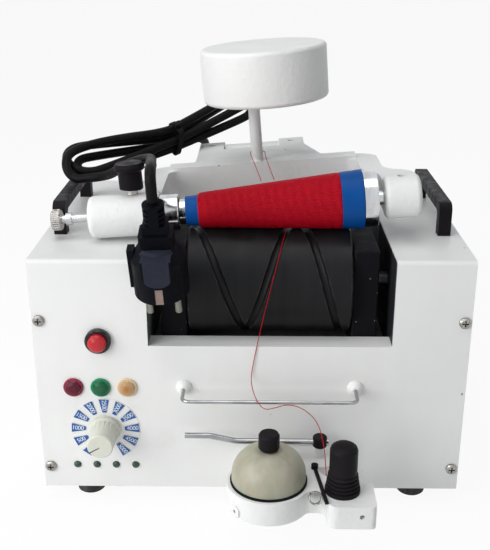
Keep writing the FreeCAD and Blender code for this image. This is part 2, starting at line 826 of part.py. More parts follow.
def hinge_parts():
    """Pedestal on the case and the pin that the cradle swings on."""
    hinge_z = spin_z + hinge_rise
    gap = 0.5
    x0 = plate_x0 + lug_w + gap
    x1 = plate_x1 - lug_w - gap
    pin = bar(V(plate_x0 + 1, hinge_y, hinge_z), V(plate_x1 - 1, hinge_y, hinge_z), hinge_r)
    pin = pin.makeChamfer(0.5, [e for e in pin.Edges if e.Length < 30])
    keep("hinge_pin", tilted(pin))
    knuckle = tilted(bar(V(x0, hinge_y, hinge_z), V(x1, hinge_y, hinge_z), 8.0))
    web = tilted(block(x0, x1, hinge_y - 7.5, hinge_y + 4.5, top_z - 20, hinge_z))
    web = web.common(block(plate_x0, plate_x1, hinge_y - 40, hinge_y + 40, top_z, hinge_z + 40))
    foot = block(x0 - 4, x1 + 4, hinge_y - 14, case_d - 0.5, top_z, top_z + 5)
    pedestal = fused(knuckle, web, foot)
    hole = tilted(bar(V(x0 - 5, hinge_y, hinge_z), V(x1 + 5, hinge_y, hinge_z), hinge_r))
    keep("hinge_pedestal", pedestal.cut(hole))


def weight_parts():
    bar_top = spin_z + 0.5 * bar_h
    y = 0.5 * (bar_y0 + bar_y1)
    seat = bar_top - post_seat
    foot = bar_top + post_h
    post = bar(V(post_x, y, seat), V(post_x, y, foot + 10), post_r)
    keep("weight_post", tilted(post))
    x = post_x + weight_off
    disc = bar(V(x, y, foot), V(x, y, foot + weight_h), weight_r)
    disc = disc.makeFillet(3.0, [e for e in disc.Edges if e.Length > 200])
    hole = bar(V(post_x, y, foot - 1), V(post_x, y, foot + 10), post_r)
    keep("weight_disc", tilted(disc.cut(hole)))


def line_r(x, base_r):
    """Radius at X of a cone with the spindle's taper."""
    return base_r + (x - spin_x) * slope


def spindle_turned(profile):
    """A turned piece on the spindle, given as X and radius pairs, then tilted."""
    pairs = [(r, x) for x, r in profile]
    return tilted(turned(pairs, V(0, spin_y, spin_z), V(1, 0, 0)))


def left_centre():
    rod = bar(V(rod_x0 + 1, spin_y, spin_z), V(cone_x0 + 2, spin_y, spin_z), rod_r)
    stop = bar(V(-131, spin_y, spin_z), V(-127, spin_y, spin_z), 4.5)
    keep("slide_rod", tilted(fused(rod, stop)))
    knob = bar(V(rod_x0, spin_y, spin_z), V(rod_x0 + knurl_w, spin_y, spin_z), knurl_r)
    knob = knob.makeChamfer(0.8, [e for e in knob.Edges if e.Length > 30 and e.Closed])
    teeth = 30
    for i in range(teeth):
        angle = 2 * math.pi * i / teeth
        y = spin_y + (knurl_r + 0.25) * math.cos(angle)
        z = spin_z + (knurl_r + 0.25) * math.sin(angle)
        knob = knob.cut(bar(V(rod_x0 - 1, y, z), V(rod_x0 + knurl_w + 1, y, z), 0.6))
    knob = knob.cut(bar(V(rod_x0 + 1, spin_y, spin_z), V(rod_x0 + 20, spin_y, spin_z), rod_r))
    mid = rod_x0 + 0.5 * knurl_w
    knob = knob.cut(bar(V(mid, spin_y, spin_z + 5), V(mid, spin_y, spin_z + 9), 1.2))
    keep("knurled_knob", tilted(knob))
    x0 = boss_x1
    cup = [(x0, rod_r + 1.5), (x0, cup_r - 0.6), (x0 + 0.6, cup_r), (cup_x1 - 0.6, cup_r),
           (cup_x1, cup_r - 0.6), (cup_x1, collar_r + 0.4), (x0 + 1.2, collar_r + 0.4),
           (x0 + 1.2, rod_r + 1.5)]
    keep("bearing_cup", spindle_turned(cup))
    bore = rod_r + run_fit
    c0 = cone_x0 - collar_w
    n1 = cone_x0 + nose_len
    r0 = line_r(cone_x0, yarn_mid_r - yarn_t - cone_wall) - 0.15
    nose = [(c0, bore), (c0, collar_r), (cone_x0, collar_r), (cone_x0, r0), (n1, r0),
            (n1, 0), (cone_x0 + 2.5, 0), (cone_x0 + 2.5, bore)]
    keep("live_centre", spindle_turned(nose))


def lock_knob():
    base = spin_z + boss_r
    r1 = lock_hub_r
    r2 = lock_cap_r
    h1 = lock_neck_h
    h2 = h1 + lock_hub_h
    h3 = h2 + lock_cap_h
    tip = rod_r + 0.1 - boss_r
    profile = [(0, tip), (lock_screw_r, tip), (lock_screw_r, 0.2), (4.0, 0.2), (4.0, h1),
               (r1 - 0.6, h1), (r1, h1 + 0.8), (r1, h2), (r2 - 1.5, h2), (r2, h2 + 1.2),
               (r2, h3 - 2.2), (r2 - 1.6, h3), (0, h3)]
    keep("lock_knob", tilted(turned(profile, V(lock_x, spin_y, base), V(0, 0, 1))))


def cone_parts():
    core_out = yarn_mid_r - yarn_t
    core_in = core_out - cone_wall
    rim = yarn_x1 + 0.0
    small = yarn_x0
    core = [(cone_x0, line_r(cone_x0, core_in)), (cone_x0, line_r(cone_x0, core_out) + 0.8),
            (small, line_r(small, core_out) + 0.8), (small, line_r(small, core_out)),
            (rim, line_r(rim, core_out)), (rim, line_r(rim, yarn_mid_r)),
            (cone_x1, line_r(cone_x1, yarn_mid_r)), (cone_x1, line_r(cone_x1, core_in))]
    keep("cone_core", spindle_turned(core))
    yarn = [(small, line_r(small, core_out)), (small, line_r(small, yarn_mid_r) - 1.0),
            (small + 1.5, line_r(small + 1.5, yarn_mid_r)), (rim, line_r(rim, yarn_mid_r)),
            (rim, line_r(rim, core_out))]
    keep("yarn_package", spindle_turned(yarn))
    n0 = cone_x1 - nose_len
    nose_r0 = line_r(n0, core_in)
    nose_r1 = line_r(cone_x1, core_in)
    x1 = cone_x1 + chuck_w
    chuck = [(n0, 0), (n0, nose_r0 - 1), (n0 + 1, nose_r0), (cone_x1, nose_r1),
             (cone_x1, chuck_r - 0.6), (cone_x1 + 0.6, chuck_r), (x1 - 0.6, chuck_r),
             (x1, chuck_r - 0.6), (x1, shaft_r), (right_x1 - 5, shaft_r), (right_x1 - 5, 0)]
    keep("cone_chuck", spindle_turned(chuck))


# Tension unit

def tension_bracket():
    """White casting: a ring under the wax, a narrow waist and a block for the tensioner."""
    z0 = unit_z0
    z1 = unit_z1
    block_x = tens_x - 11.0
    ring = bar(V(ring_x, ring_y, z0), V(ring_x, ring_y, z1), ring_r)
    right = block(block_x, unit_x1, unit_y0, ring_y - 2.5, z0, z1)
    front = [e for e in right.Edges if is_upright(e) and middle(e).y < unit_y0 + 1]
    right = right.makeFillet(7.0, [e for e in front if middle(e).x < block_x + 1])
    right = round_edges(right, 3.5, lambda e: is_upright(e) and middle(e).x > unit_x1 - 1
                        and middle(e).y < unit_y0 + 1)
    neck = slab([(ring_x + 10, ring_y + 22), (ring_x + 20, waist_y), (block_x + 4, waist_y),
                 (block_x + 4, ring_y), (46, -30), (30, -18)], z0, z1)
    rear = slab([(ring_x - 16, 0), (ring_x - 16, ring_y + 10), (ring_x + 16, ring_y + 10),
                 (clamp_x + 9.5, -24), (clamp_x + 9.5, 0)], z0, z1)
    body = fused(ring, right, neck, rear)
    body = round_edges(body, 5.5, lambda e: is_upright(e) and abs(middle(e).y - waist_y) < 0.1
                       and e.Length > z1 - z0 - 1)
    boss_way = V(-0.772, -0.636, 0)
    boss_at = V(ring_x, ring_y, z0 + 4.5)
    boss_out = boss_at.add(V(boss_way) * (ring_r + 1.2))
    body = fused(body, bar(boss_at.add(V(boss_way) * 20), boss_out, 4.3),
                 bar(V(clamp_x, guide_y, z1 - 1), V(clamp_x, guide_y, guide_z - 3.6), clamp_post_r))
    body = body.cut(bar(boss_out, boss_out.sub(V(boss_way) * 6), 1.3))
    pocket = bar(V(ring_x, ring_y, z1 - 3), V(ring_x, ring_y, z1 + 1), ring_r - 5)
    body = body.cut(pocket)
    body = body.cut(bar(V(ring_x, ring_y, z0 - 1), V(ring_x, ring_y, z1), 2.6))
    hole_x = unit_x1 - 9.5
    hole_z = 0.5 * (z0 + z1) + 0.7
    body = body.cut(bar(V(hole_x, unit_y0 - 1, hole_z), V(hole_x, unit_y0 + 14, hole_z), 1.75))
    keep("tension_bracket", body)


def wax_parts():
    z = unit_z1
    seat = [(2.6, -3), (ring_r - 5.1, -3), (ring_r - 5.1, 0), (wax_r + 1, 0),
            (wax_r + 1, wax_seat_h), (2.6, wax_seat_h)]
    keep("wax_seat", turned(seat, V(ring_x, ring_y, z), V(0, 0, 1)))
    h = wax_h
    r = wax_r
    low = wax_seat_h + 0.3
    corners = [V(2.8, 0, low), V(r, 0, low), V(r, 0, low + 0.16 * h)]
    flat = [V(0.36 * r, 0, low + h), V(2.8, 0, low + h), V(2.8, 0, low)]
    shoulder = V(0.86 * r, 0, low + 0.66 * h)
    edges = [Part.LineSegment(p, q).toShape() for p, q in zip(corners, corners[1:])]
    edges.append(Part.Arc(corners[-1], shoulder, flat[0]).toShape())
    edges += [Part.LineSegment(p, q).toShape() for p, q in zip(flat, flat[1:])]
    dome = Part.Face(Part.Wire(edges)).revolve(V(0, 0, 0), V(0, 0, 1), 360)
    dome.translate(V(ring_x, ring_y, z))
    keep("wax_disc", dome)
    k0 = low + h + 0.3
    knob = [(0, -unit_z1 + unit_z0 + 4), (2.5, -unit_z1 + unit_z0 + 4), (2.5, k0), (5.5, k0),
            (7.1, k0 + 2), (7.1, k0 + 10.5), (6.2, k0 + 12), (0, k0 + 12)]
    keep("wax_knob", turned(knob, V(ring_x, ring_y, z), V(0, 0, 1)))


def tensioner_parts():
    z = unit_z1
    base = [(0, 0), (11.75, 0), (11.75, 2.5)]
    for i in range(4):
        s = 2.5 + 2.6 * i
        base += [(10.2 - 0.4 * i, s + 0.4), (10.2 - 0.4 * i, s + 1.4), (11.2 - 0.4 * i, s + 1.8),
                 (11.2 - 0.4 * i, s + 2.6)]
    base += [(8.4, 14), (3, 14), (3, 31), (0, 31)]
    keep("tensioner_base", turned(base, V(tens_x, tens_y, z), V(0, 0, 1)))
    cap = [(3.08, 14.3), (9.25, 14.3), (9.25, 31), (8.4, 33), (6.2, 34.6), (3, 35.3), (0, 35.4),
           (0, 31.4), (3.08, 31.4)]
    keep("tensioner_cap", turned(cap, V(tens_x, tens_y, z), V(0, 0, 1)))
    tail = V(tens_x - 16.8, tens_y + 26, z)
    tip = V(tens_x - 11.3, tens_y - 16, z)
    way = tip.sub(tail)
    across = V(-way.y, way.x, 0).normalize() * 1.2
    lever = slab([(p.x, p.y) for p in (tail.sub(across), tip.sub(across), tip.add(across),
                                       tail.add(across))], z, z + 1.4)
    keep("tension_lever", fused(lever, bar(tail, V(tail.x, tail.y, z + 3), 2.4)))


def tension_spring():
    """Coil spring before the waist, seen end on, with two straight legs."""
    centre = V(tens_x - 18.3, waist_y - 5.6, unit_z1 - 1.0)
    axis = V(0, -0.87, 0.5).normalize()
    side = V(1, 0, 0)
    up = axis.cross(side)
    coil_r = 3.9
    wire = 0.5
    pitch = 1.5
    turns = 5

    def spot(quarter):
        angle = 0.5 * math.pi * quarter
        ring = V(side) * (coil_r * math.cos(angle)) + V(up) * (coil_r * math.sin(angle))
        return centre + ring + V(axis) * (pitch * (0.25 * quarter - 0.5 * turns))

    def way(quarter):
        angle = 0.5 * math.pi * quarter
        ring = V(up) * (coil_r * math.cos(angle)) - V(side) * (coil_r * math.sin(angle))
        return (ring + V(axis) * (0.5 * pitch / math.pi)).normalize()

    last = 4 * turns + 1
    edges = [Part.LineSegment(spot(0) - way(0) * 3.5, spot(0)).toShape()]
    for quarter in range(last):
        edges += biarc(spot(quarter), way(quarter), spot(quarter + 1), way(quarter + 1))
    edges.append(Part.LineSegment(spot(last), spot(last) + way(last) * 4.5).toShape())
    print("spring least gap", round(least_gap(edges, wire), 2))
    keep("tension_spring", piped(edges, wire))


def guide_rod_parts():
    bend_x = guide_x0 + 17
    points = [V(guide_x0, guide_y, guide_z + guide_rise), V(bend_x, guide_y, guide_z + guide_rise),
              V(bend_x + 19, guide_y, guide_z), V(clamp_x + 6, guide_y, guide_z)]
    keep("guide_rod", path_tube(points, guide_r, 20.0))
    r = clamp_r
    profile = [(0, -3.6), (r - 0.8, -3.6), (r, -2.8), (r, 3.7), (r - 0.8, 4.5), (0, 4.5)]
    clamp = turned(profile, V(clamp_x, guide_y, guide_z), V(0, 0, 1))
    hole = bar(V(clamp_x - 8, guide_y, guide_z), V(clamp_x + 8, guide_y, guide_z), guide_r)
    keep("clamp_knob", clamp.cut(hole))


# Mains cord: lead from the gland, tied hank, and the end with the plug

cord_r = 3.5
cord_gap = 0.3
gland_out = 28.0
lead_route = ((-60, 262, 62), (-60, 276, 88), (-60, 269, 125), (-57, 252, 163), (-50, 237, 196))
hank_start = (-146.0, 122.0, 225.5)
hank_along = (0.788, 0.603, 0.116)
hank_across = (-0.587, 0.685, 0.432)
hank_step = 8.3
hank_len = 187.0
waist_at = 108.0
waist_half = 4.0
waist_low = -3.5
left_low = -7.0
left_loops = ((10.0, 14.0), (9.0, 16.5))
right_r = 15.0
right_nest = 5.0
split = (-130.0, 103.0, 217.0)
split_way = (0.9971, 0, 0.0756)
drop_route = ((-110, 103, 218.5), (-98.5, 87, 230.5), (-93.5, 66, 244.5), (-84, 45, 249.5),
              (-74.5, 22, 253), (-66, 0, 257), (-62.3, -18, 258.5), (-60.63, -35.25, 251))
plug_top = (-60.1, -31.5, 236.5)
plug_up = (-0.035, -0.25, 0.9676)
plug_r = 18.0
plug_len = 65.0
relief_len = 14.0
neck_len = 6.0
shoulder_len = 14.0
pin_r = 2.4
pin_pitch = 19.0
pin_len = 19.0


def cord_tube(points, radius):
    """Straight runs joined by the largest tangent arcs; prints the bend radii."""
    edges = []
    radii = []
    start = points[0]
    for before, corner, after in zip(points, points[1:], points[2:]):
        back = before.sub(corner)
        ahead = after.sub(corner)
        half = 0.5 * back.getAngle(ahead)
        reach = 0.45 * min(back.Length, ahead.Length)
        back.normalize()
        ahead.normalize()
        bend = reach * math.tan(half)
        inward = back.add(ahead).normalize()
        centre = corner.add(V(inward) * (reach / math.cos(half)))
        enter = corner.add(V(back) * reach)
        leave = corner.add(V(ahead) * reach)
        edges.append(Part.LineSegment(start, enter).toShape())
        edges.append(Part.Arc(enter, centre.sub(V(inward) * bend), leave).toShape())
        radii.append(round(bend))
        start = leave
    edges.append(Part.LineSegment(start, points[-1]).toShape())
    return piped(edges, radius), radii


def piped(edges, radius):
    """A round tube along joined edges, checked against its length."""
    path = Part.Wire(edges)
    first = edges[0]
    along = first.tangentAt(first.FirstParameter)
    section = Part.Wire(Part.makeCircle(radius, first.valueAt(first.FirstParameter), along))
    tube = path.makePipeShell([section], True, False)
    plain = math.pi * radius ** 2 * path.Length
    print("cord run", round(path.Length, 1), "mm, volume share", round(tube.Volume / plain, 4))
    return tube


def arc_from(start, along, end):
    """Circular arc that leaves a point along a direction and meets another point."""
    chord = end.sub(start)
    normal = along.cross(chord)
    if normal.Length < 1e-6 * chord.Length:
        return Part.LineSegment(start, end).toShape()
    side = normal.cross(along).normalize()
    radius = chord.dot(chord) / (2 * chord.dot(side))
    centre = start.add(V(side) * radius)
    out = start.sub(centre).add(end.sub(centre)).normalize()
    if along.dot(chord) < 0:
        out = V(out) * -1
    return Part.Arc(start, centre.add(V(out) * abs(radius)), end).toShape()


def biarc(start, along, end, onward):
    """Two arcs that join two points and keep the direction at each."""
    chord = end.sub(start)
    both = along.add(onward)
    bend = 2 * (1 - along.dot(onward))
    if bend < 1e-9:
        reach = chord.dot(chord) / (4 * chord.dot(onward))
    else:
        cross = chord.dot(both)
        reach = (math.sqrt(cross ** 2 + bend * chord.dot(chord)) - cross) / bend
    turn = along.sub(onward)
    join = (start.add(end).add(V(turn) * reach)) * 0.5
    first = arc_from(start, along, join)
    second = arc_from(end, V(onward) * -1, join)
    second.reverse()
    return [first, Part.Arc(join, second.valueAt(0.5 * (second.FirstParameter
            + second.LastParameter)), end).toShape()]


def hank_frame():
    """Directions along the hank, across its loops and through its layers."""
    along = V(*hank_along).normalize()
    rough = V(*hank_across)
    across = rough.sub(V(along) * rough.dot(along)).normalize()
    return along, across, along.cross(across)


def hank_point(along_mm, across_mm, layer_mm):
    a, b, c = hank_frame()
    return V(*hank_start).add(V(a) * along_mm).add(V(b) * across_mm).add(V(c) * layer_mm)


def hank_keys():
    """Points of the hank with the cord's direction at each."""
    a, b, c = hank_frame()
    home = V(a) * -1
    down = V(b) * -1
    rise = (home + V(b) * -0.15 + V(c) * 0.25).normalize()
    keys = [(hank_point(waist_at + 20, 8.5, waist_low - 6.5), rise),
            (hank_point(waist_at, waist_half, waist_low), home)]
    for i, (end, half) in enumerate(left_loops):
        low = left_low + i * hank_step
        layer = waist_low + i * hank_step
        far = hank_len - i * right_nest
        keys += [(hank_point(end + 1.15 * half, half, low), home),
                 (hank_point(end, 0, low), down),
                 (hank_point(end + 1.15 * half, -half, low), a),
                 (hank_point(waist_at, -waist_half, layer), a),
                 (hank_point(far - right_r, -right_r, layer), a),
                 (hank_point(far, 0, layer), b),
                 (hank_point(far - right_r, right_r, layer), home),
                 (hank_point(waist_at, waist_half, layer + hank_step), home)]
    low = left_low + 2 * hank_step
    around = (down + V(c) * -0.42 + V(a) * 0.05).normalize()
    keys += [(hank_point(23, 18.5, low), home),
             (hank_point(-1.5, -2, low - 4), around),
             (V(*split), V(*split_way).normalize())]
    return keys


def least_gap(edges, radius):
    """Smallest gap of a wound tube to itself, measured on points along its middle."""
    points = []
    travelled = 0.0
    for edge in edges:
        count = max(2, int(edge.Length / 2.5))
        span = edge.LastParameter - edge.FirstParameter
        for i in range(count):
            spot = edge.valueAt(edge.FirstParameter + span * i / count)
            points.append((travelled + edge.Length * i / count, spot))
        travelled += edge.Length
    least = 1000.0
    for i, (s, p) in enumerate(points):
        for t, q in points[i + 1:]:
            if t - s > 8 * radius:
                least = min(least, p.distanceToPoint(q))
    return least - 2 * radius


def cord_nodes():
    keys = hank_keys()
    start, rise = keys[0]
    exit_point = V(gland_x, case_d + gland_out, gland_z)
    lead = [exit_point] + [V(*p) for p in lead_route] + [start.sub(V(rise) * 21), start]
    tube, radii = cord_tube(lead, cord_r)
    print("lead radii", radii)
    keep("cord_lead", tube)

    edges = []
    for (p0, t0), (p1, t1) in zip(keys, keys[1:]):
        edges += biarc(p0, t0, p1, t1)
    end, way = keys[-1]
    edges.append(Part.LineSegment(end, end.add(V(way) * 2 * cord_r)).toShape())
    print("hank least gap", round(least_gap(edges, cord_r), 2))
    print("hank radii", [round(e.Curve.Radius) for e in edges if hasattr(e.Curve, "Radius")])
    keep("cord_hank", piped(edges, cord_r))

    begin = end.add(V(way) * (2 * cord_r + cord_gap))
    drop = [begin] + [V(*p) for p in drop_route] + [V(*plug_top)]
    tube, radii = cord_tube(drop, cord_r)
    print("drop radii", radii)
    keep("cord_drop", tube)


def cord_tie():
    """Plastic tie round the bundle at its waist."""
    a, b, c = hank_frame()
    side = waist_half + cord_r + 0.4
    low = waist_low - cord_r - 0.6
    high = waist_low + 2 * hank_step + cord_r + 0.4
    wall = 1.2
    width = 4.8
    outer = block(0, width, -side - wall, side + wall, low - wall, high + wall)
    outer = round_edges(outer, 3.0, lambda e: e.BoundBox.XLength > 4)
    inner = block(-1, width + 1, -side, side, low, high)
    inner = round_edges(inner, 2.0, lambda e: e.BoundBox.XLength > 4)
    lock = block(-0.6, width + 0.6, -2.5, 2.5, high + wall - 0.1, high + wall + 3.5)
    tie = fused(outer.cut(inner), lock)
    turn = FreeCAD.Matrix(a.x, b.x, c.x, 0, a.y, b.y, c.y, 0, a.z, b.z, c.z, 0, 0, 0, 0, 1)
    tie.Placement = FreeCAD.Placement(hank_point(waist_at - 0.5 * width, 0, 0),
                                      FreeCAD.Placement(turn).Rotation)
    keep("cord_tie", tie)


def cord_gland():
    """Threaded gland with its nut and a tapered bend guard."""
    r = gland_thread_r - fit
    profile = [(0, -8), (r, -8), (r, 0), (9.5, 0), (9.5, 5), (8.2, 6), (8.2, 10), (6.2, 11),
               (5.2, gland_out), (0, gland_out)]
    body = turned(profile, V(gland_x, case_d, gland_z), V(0, 1, 0))
    corners = [V(gland_x + 10.5 * math.cos(k * math.pi / 3), case_d - sheet,
                 gland_z + 10.5 * math.sin(k * math.pi / 3)) for k in range(7)]
    nut = Part.Face(Part.makePolygon(corners)).extrude(V(0, -3.5, 0))
    keep("cord_gland", fused(body, nut))


def plug_place(shape):
    """Hangs a plug piece, drawn with its cord end up, at its leaning place."""
    shape.Placement = FreeCAD.Placement(V(*plug_top),
                                        FreeCAD.Rotation(V(0, 0, 1), V(*plug_up)))
    return shape


def plug_parts():
    """Moulded plug that hangs before the panel, with two round pins and earth clips."""
    neck_z = -relief_len
    shoulder_z = neck_z - neck_len
    body_z = shoulder_z - shoulder_len
    crown_z = shoulder_z - 9
    profile = [(0, 0), (4.6, 0), (5.4, neck_z), (6.5, neck_z), (6.5, crown_z), (12, crown_z),
               (plug_r, crown_z - 9), (plug_r, -plug_len), (0, -plug_len)]
    body = turned(profile, V(0, 0, 0), V(0, 0, 1))
    shoulder = block(-10.8, 10.8, -8.5, 8.5, crown_z - 2, shoulder_z)
    shoulder = round_edges(shoulder, 2.0, is_upright)
    neck = block(-7.8, 7.8, -6.5, 6.5, shoulder_z - 1, neck_z)
    spine = block(-3.2, 3.2, -6.9, 6.9, neck_z, 0)
    body = fused(body, shoulder, neck, spine)
    pitch = 3.4
    for i in range(4):
        s = -0.4 - pitch * i
        rib = bar(V(0, 0, s - 1.9), V(0, 0, s), 6.9)
        body = fused(body, rib)
    tab = block(-plug_r - 1.6, -plug_r + 3, -4, 4, -plug_len + 5, body_z + 2)
    grip = block(-9.5, 9.5, -plug_r - 0.6, 0, -plug_len + 14, crown_z - 2)
    grip = round_edges(grip, 8.5, lambda e: e.BoundBox.YLength > 10 and middle(e).z < body_z - 5)
    body = fused(body, tab, grip)
    for x in (-0.5 * pin_pitch, 0.5 * pin_pitch):
        body = body.cut(bar(V(x, 0, -plug_len - 1), V(x, 0, -plug_len + 6), pin_r))
    clip_in = plug_r - 2.0
    clips = []
    for side in (-1, 1):
        y0, y1 = sorted((side * clip_in, side * (plug_r + 2)))
        body = body.cut(block(-2.6, 2.6, y0, y1, -plug_len - 1, -plug_len + 12))
        y0, y1 = sorted((side * clip_in, side * (clip_in + 1.0)))
        clips.append(block(-2.6, 2.6, y0, y1, -plug_len, -plug_len + 12))
    keep("plug_body", plug_place(body))
    for x in (-0.5 * pin_pitch, 0.5 * pin_pitch):
        pin = bar(V(x, 0, -plug_len - pin_len), V(x, 0, -plug_len + 6), pin_r)
        tip = [e for e in pin.Edges if middle(e).z < -plug_len - 5 and e.BoundBox.ZLength < 0.1]
        clips.append(pin.makeFillet(1.6, tip))
    keep("plug_pins", plug_place(Part.makeCompound(clips)))


def build():
    for step in (front_top_cover, side_panels, rear_panel, base_plate, rubber_feet, case_screws,
                 drum_trough, drive_side_plate, bearing_blocks, drum_bearings, grooved_drum,
                 drum_shaft, drum_pulley, motor_body, motor_pulley, drive_belt, control_board,
                 button_bezel, push_button, pilot_lamps, status_leds, dial_plate,
                 speed_potentiometer, speed_knob, guide_wire, guide_grommets, carry_handles,
                 cradle_casting, hinge_parts, weight_parts, left_centre, lock_knob, cone_parts,
                 tension_bracket, wax_parts, tensioner_parts, tension_spring, guide_rod_parts, cord_nodes,
                 cord_tie, cord_gland, plug_parts):
        step()
    for name, shape in nodes.items():
        shape.translate(V(0, -mid_y, 0))
        for solid in shape.Solids:
            if not solid.isValid():
                print("invalid solid in", name)
        print(name, len(shape.Solids), round(shape.Volume))
        shape.exportStep("parts/" + name + ".step")


build()
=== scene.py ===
import bpy
import math
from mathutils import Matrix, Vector


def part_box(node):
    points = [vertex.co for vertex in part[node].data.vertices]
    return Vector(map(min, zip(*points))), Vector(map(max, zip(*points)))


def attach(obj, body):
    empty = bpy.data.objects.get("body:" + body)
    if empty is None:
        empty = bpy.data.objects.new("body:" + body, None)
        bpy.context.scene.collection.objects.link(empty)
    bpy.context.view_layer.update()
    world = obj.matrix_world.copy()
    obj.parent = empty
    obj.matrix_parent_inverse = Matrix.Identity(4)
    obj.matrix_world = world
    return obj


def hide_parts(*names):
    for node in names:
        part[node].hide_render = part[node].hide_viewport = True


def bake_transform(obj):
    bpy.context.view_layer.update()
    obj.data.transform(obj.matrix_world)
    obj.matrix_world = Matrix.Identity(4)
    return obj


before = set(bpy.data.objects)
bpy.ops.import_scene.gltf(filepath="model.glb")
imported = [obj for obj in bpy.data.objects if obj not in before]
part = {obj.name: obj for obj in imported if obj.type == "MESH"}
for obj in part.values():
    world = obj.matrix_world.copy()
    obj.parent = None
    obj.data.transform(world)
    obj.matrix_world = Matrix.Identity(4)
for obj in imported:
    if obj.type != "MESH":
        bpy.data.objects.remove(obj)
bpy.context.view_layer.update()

# Table, light and camera
# The machine stands on a wide pale table. Soft lamps light it from above and from the
# left, and the camera stands where the photographer stood.

camera_place = (0.0037, -0.6245, 0.3864)
camera_pitch = 20.7
camera_turn = 0.81
focal_pixels = 885.0
picture_width = 490.0


def place(tree, kind, *values, **named):
    """Adds a shader node. A name with a capital is a socket, any other is a setting."""
    node = tree.nodes.new("ShaderNode" + kind)
    sockets = dict(enumerate(values))
    for key, value in named.items():
        if key[0].islower():
            setattr(node, key, value)
        else:
            sockets[key.replace("_", " ")] = value
    for key, value in sockets.items():
        if value is None:
            continue
        if isinstance(value, bpy.types.NodeSocket):
            tree.links.new(value, node.inputs[key])
        else:
            node.inputs[key].default_value = value
    return node


def blank_finish(name, **constants):
    """A material with its Principled shader and the point on the piece in metres."""
    material = bpy.data.materials.new(name)
    material.use_nodes = True
    tree = material.node_tree
    shader = tree.nodes["Principled BSDF"]
    for key, value in constants.items():
        shader.inputs[key.replace("_", " ")].default_value = value
    return material, tree, shader, tree.nodes.new("ShaderNodeTexCoord").outputs["Object"]


def mixed(tree, share, first, second):
    """Mixes two colours, each a constant or another node's output."""
    skipped = [None] * 5
    return place(tree, "Mix", share, *skipped, first, second, data_type="RGBA").outputs[2]


def spread(tree, value, low, high, new_low=0.0, new_high=1.0):
    """Stretches a value's range onto a new one."""
    return place(tree, "MapRange", value, low, high, new_low, new_high).outputs[0]


def sums(tree, operation, first, second=None, third=None):
    """One sum with numbers or other nodes' outputs."""
    return place(tree, "Math", first, second, third, operation=operation).outputs[0]


def new_mesh(name, points, faces, smooth=True):
    mesh = bpy.data.meshes.new(name)
    mesh.from_pydata([tuple(p) for p in points], [], faces)
    mesh.update()
    piece = bpy.data.objects.new(name, mesh)
    bpy.context.collection.objects.link(piece)
    for face in mesh.polygons:
        face.use_smooth = smooth
    return piece


def seen_straight(tree):
    """Is 1 for rays from the camera, and for those that metal or glass sends on."""
    path = place(tree, "LightPath")
    seen = sums(tree, "MAXIMUM", path.outputs["Is Camera Ray"], path.outputs["Is Glossy Ray"])
    return sums(tree, "MAXIMUM", seen, path.outputs["Is Transmission Ray"])


table_reach = 30.0
table_front = -3.0
table_white = 0.92
room_light = 0.24
floor = new_mesh("pale_table", [(-table_reach, table_front, 0), (table_reach, table_front, 0),
                                (table_reach, table_reach, 0), (-table_reach, table_reach, 0)],
                 [(0, 1, 2, 3)])
table, tree, shader, where = blank_finish("pale_table", Roughness=0.9)
soft = place(tree, "TexNoise", where, Scale=3.0, Detail=2.0)
tint = mixed(tree, soft.outputs[0], (0.93, 0.93, 0.93, 1), (0.96, 0.96, 0.96, 1))
tree.links.new(tint, shader.inputs["Base Color"])
glow = place(tree, "Emission", (1, 1, 1, 1), 1.0)
share = sums(tree, "MULTIPLY", seen_straight(tree), table_white)
both = place(tree, "MixShader", share, shader.outputs[0], glow.outputs[0])
tree.links.new(both.outputs[0], tree.nodes["Material Output"].inputs["Surface"])
floor.data.materials.append(table)

world = bpy.data.worlds.new("pale_room")
bpy.context.scene.world = world
world.use_nodes = True
tree = world.node_tree
room = tree.nodes["Background"]
room.inputs["Color"].default_value = (0.95, 0.975, 1.0, 1)
strength = spread(tree, seen_straight(tree), 0.0, 1.0, room_light, 1.0)
tree.links.new(strength, room.inputs["Strength"])

lamps = (("lamp_above", (-0.2, -0.2, 1.4), (0, 0, 0.15), 1.0, 7.0),
         ("lamp_left", (-0.83, -0.74, 0.55), (-0.07, 0, 0.12), 0.8, 9.7))
for name, spot, aim, width, power in lamps:
    lamp = bpy.data.lights.new(name, "AREA")
    lamp.size = width
    lamp.energy = power
    holder = bpy.data.objects.new(name, lamp)
    bpy.context.collection.objects.link(holder)
    holder.location = spot
    holder.rotation_euler = (Vector(aim) - Vector(spot)).to_track_quat("-Z", "Y").to_euler()

view = bpy.data.cameras.new("camera")
view.sensor_fit = "HORIZONTAL"
view.sensor_width = 36.0
view.lens = focal_pixels / picture_width * view.sensor_width
eye = bpy.data.objects.new("camera", view)
bpy.context.collection.objects.link(eye)
eye.location = camera_place
eye.rotation_euler = (math.radians(90 - camera_pitch), 0, math.radians(camera_turn))
bpy.context.scene.camera = eye
bpy.context.scene.view_settings.view_transform = "Standard"

# Shared effects
# Marks that several finishes of the machine share: sprayed powder, handling dirt, small
# flecks, turned lines and rubbed edges. Each is a node group with its own inputs.


def effect(name, inputs, outputs):
    """A node group with the given inputs, which gives out masks and heights only."""
    tree = bpy.data.node_groups.new(name, "ShaderNodeTree")
    for label, kind, value in inputs:
        socket = tree.interface.new_socket(label, in_out="INPUT", socket_type="NodeSocket" + kind)
        socket.default_value = value
    for label in outputs:
        tree.interface.new_socket(label, in_out="OUTPUT", socket_type="NodeSocketFloat")
    start = tree.nodes.new("NodeGroupInput").outputs
    end = tree.nodes.new("NodeGroupOutput").inputs
    return tree, start, end


def marks(tree, group, *values):
    """Places a shared effect in a material and gives its outputs."""
    return place(tree, "Group", *values, node_tree=group).outputs


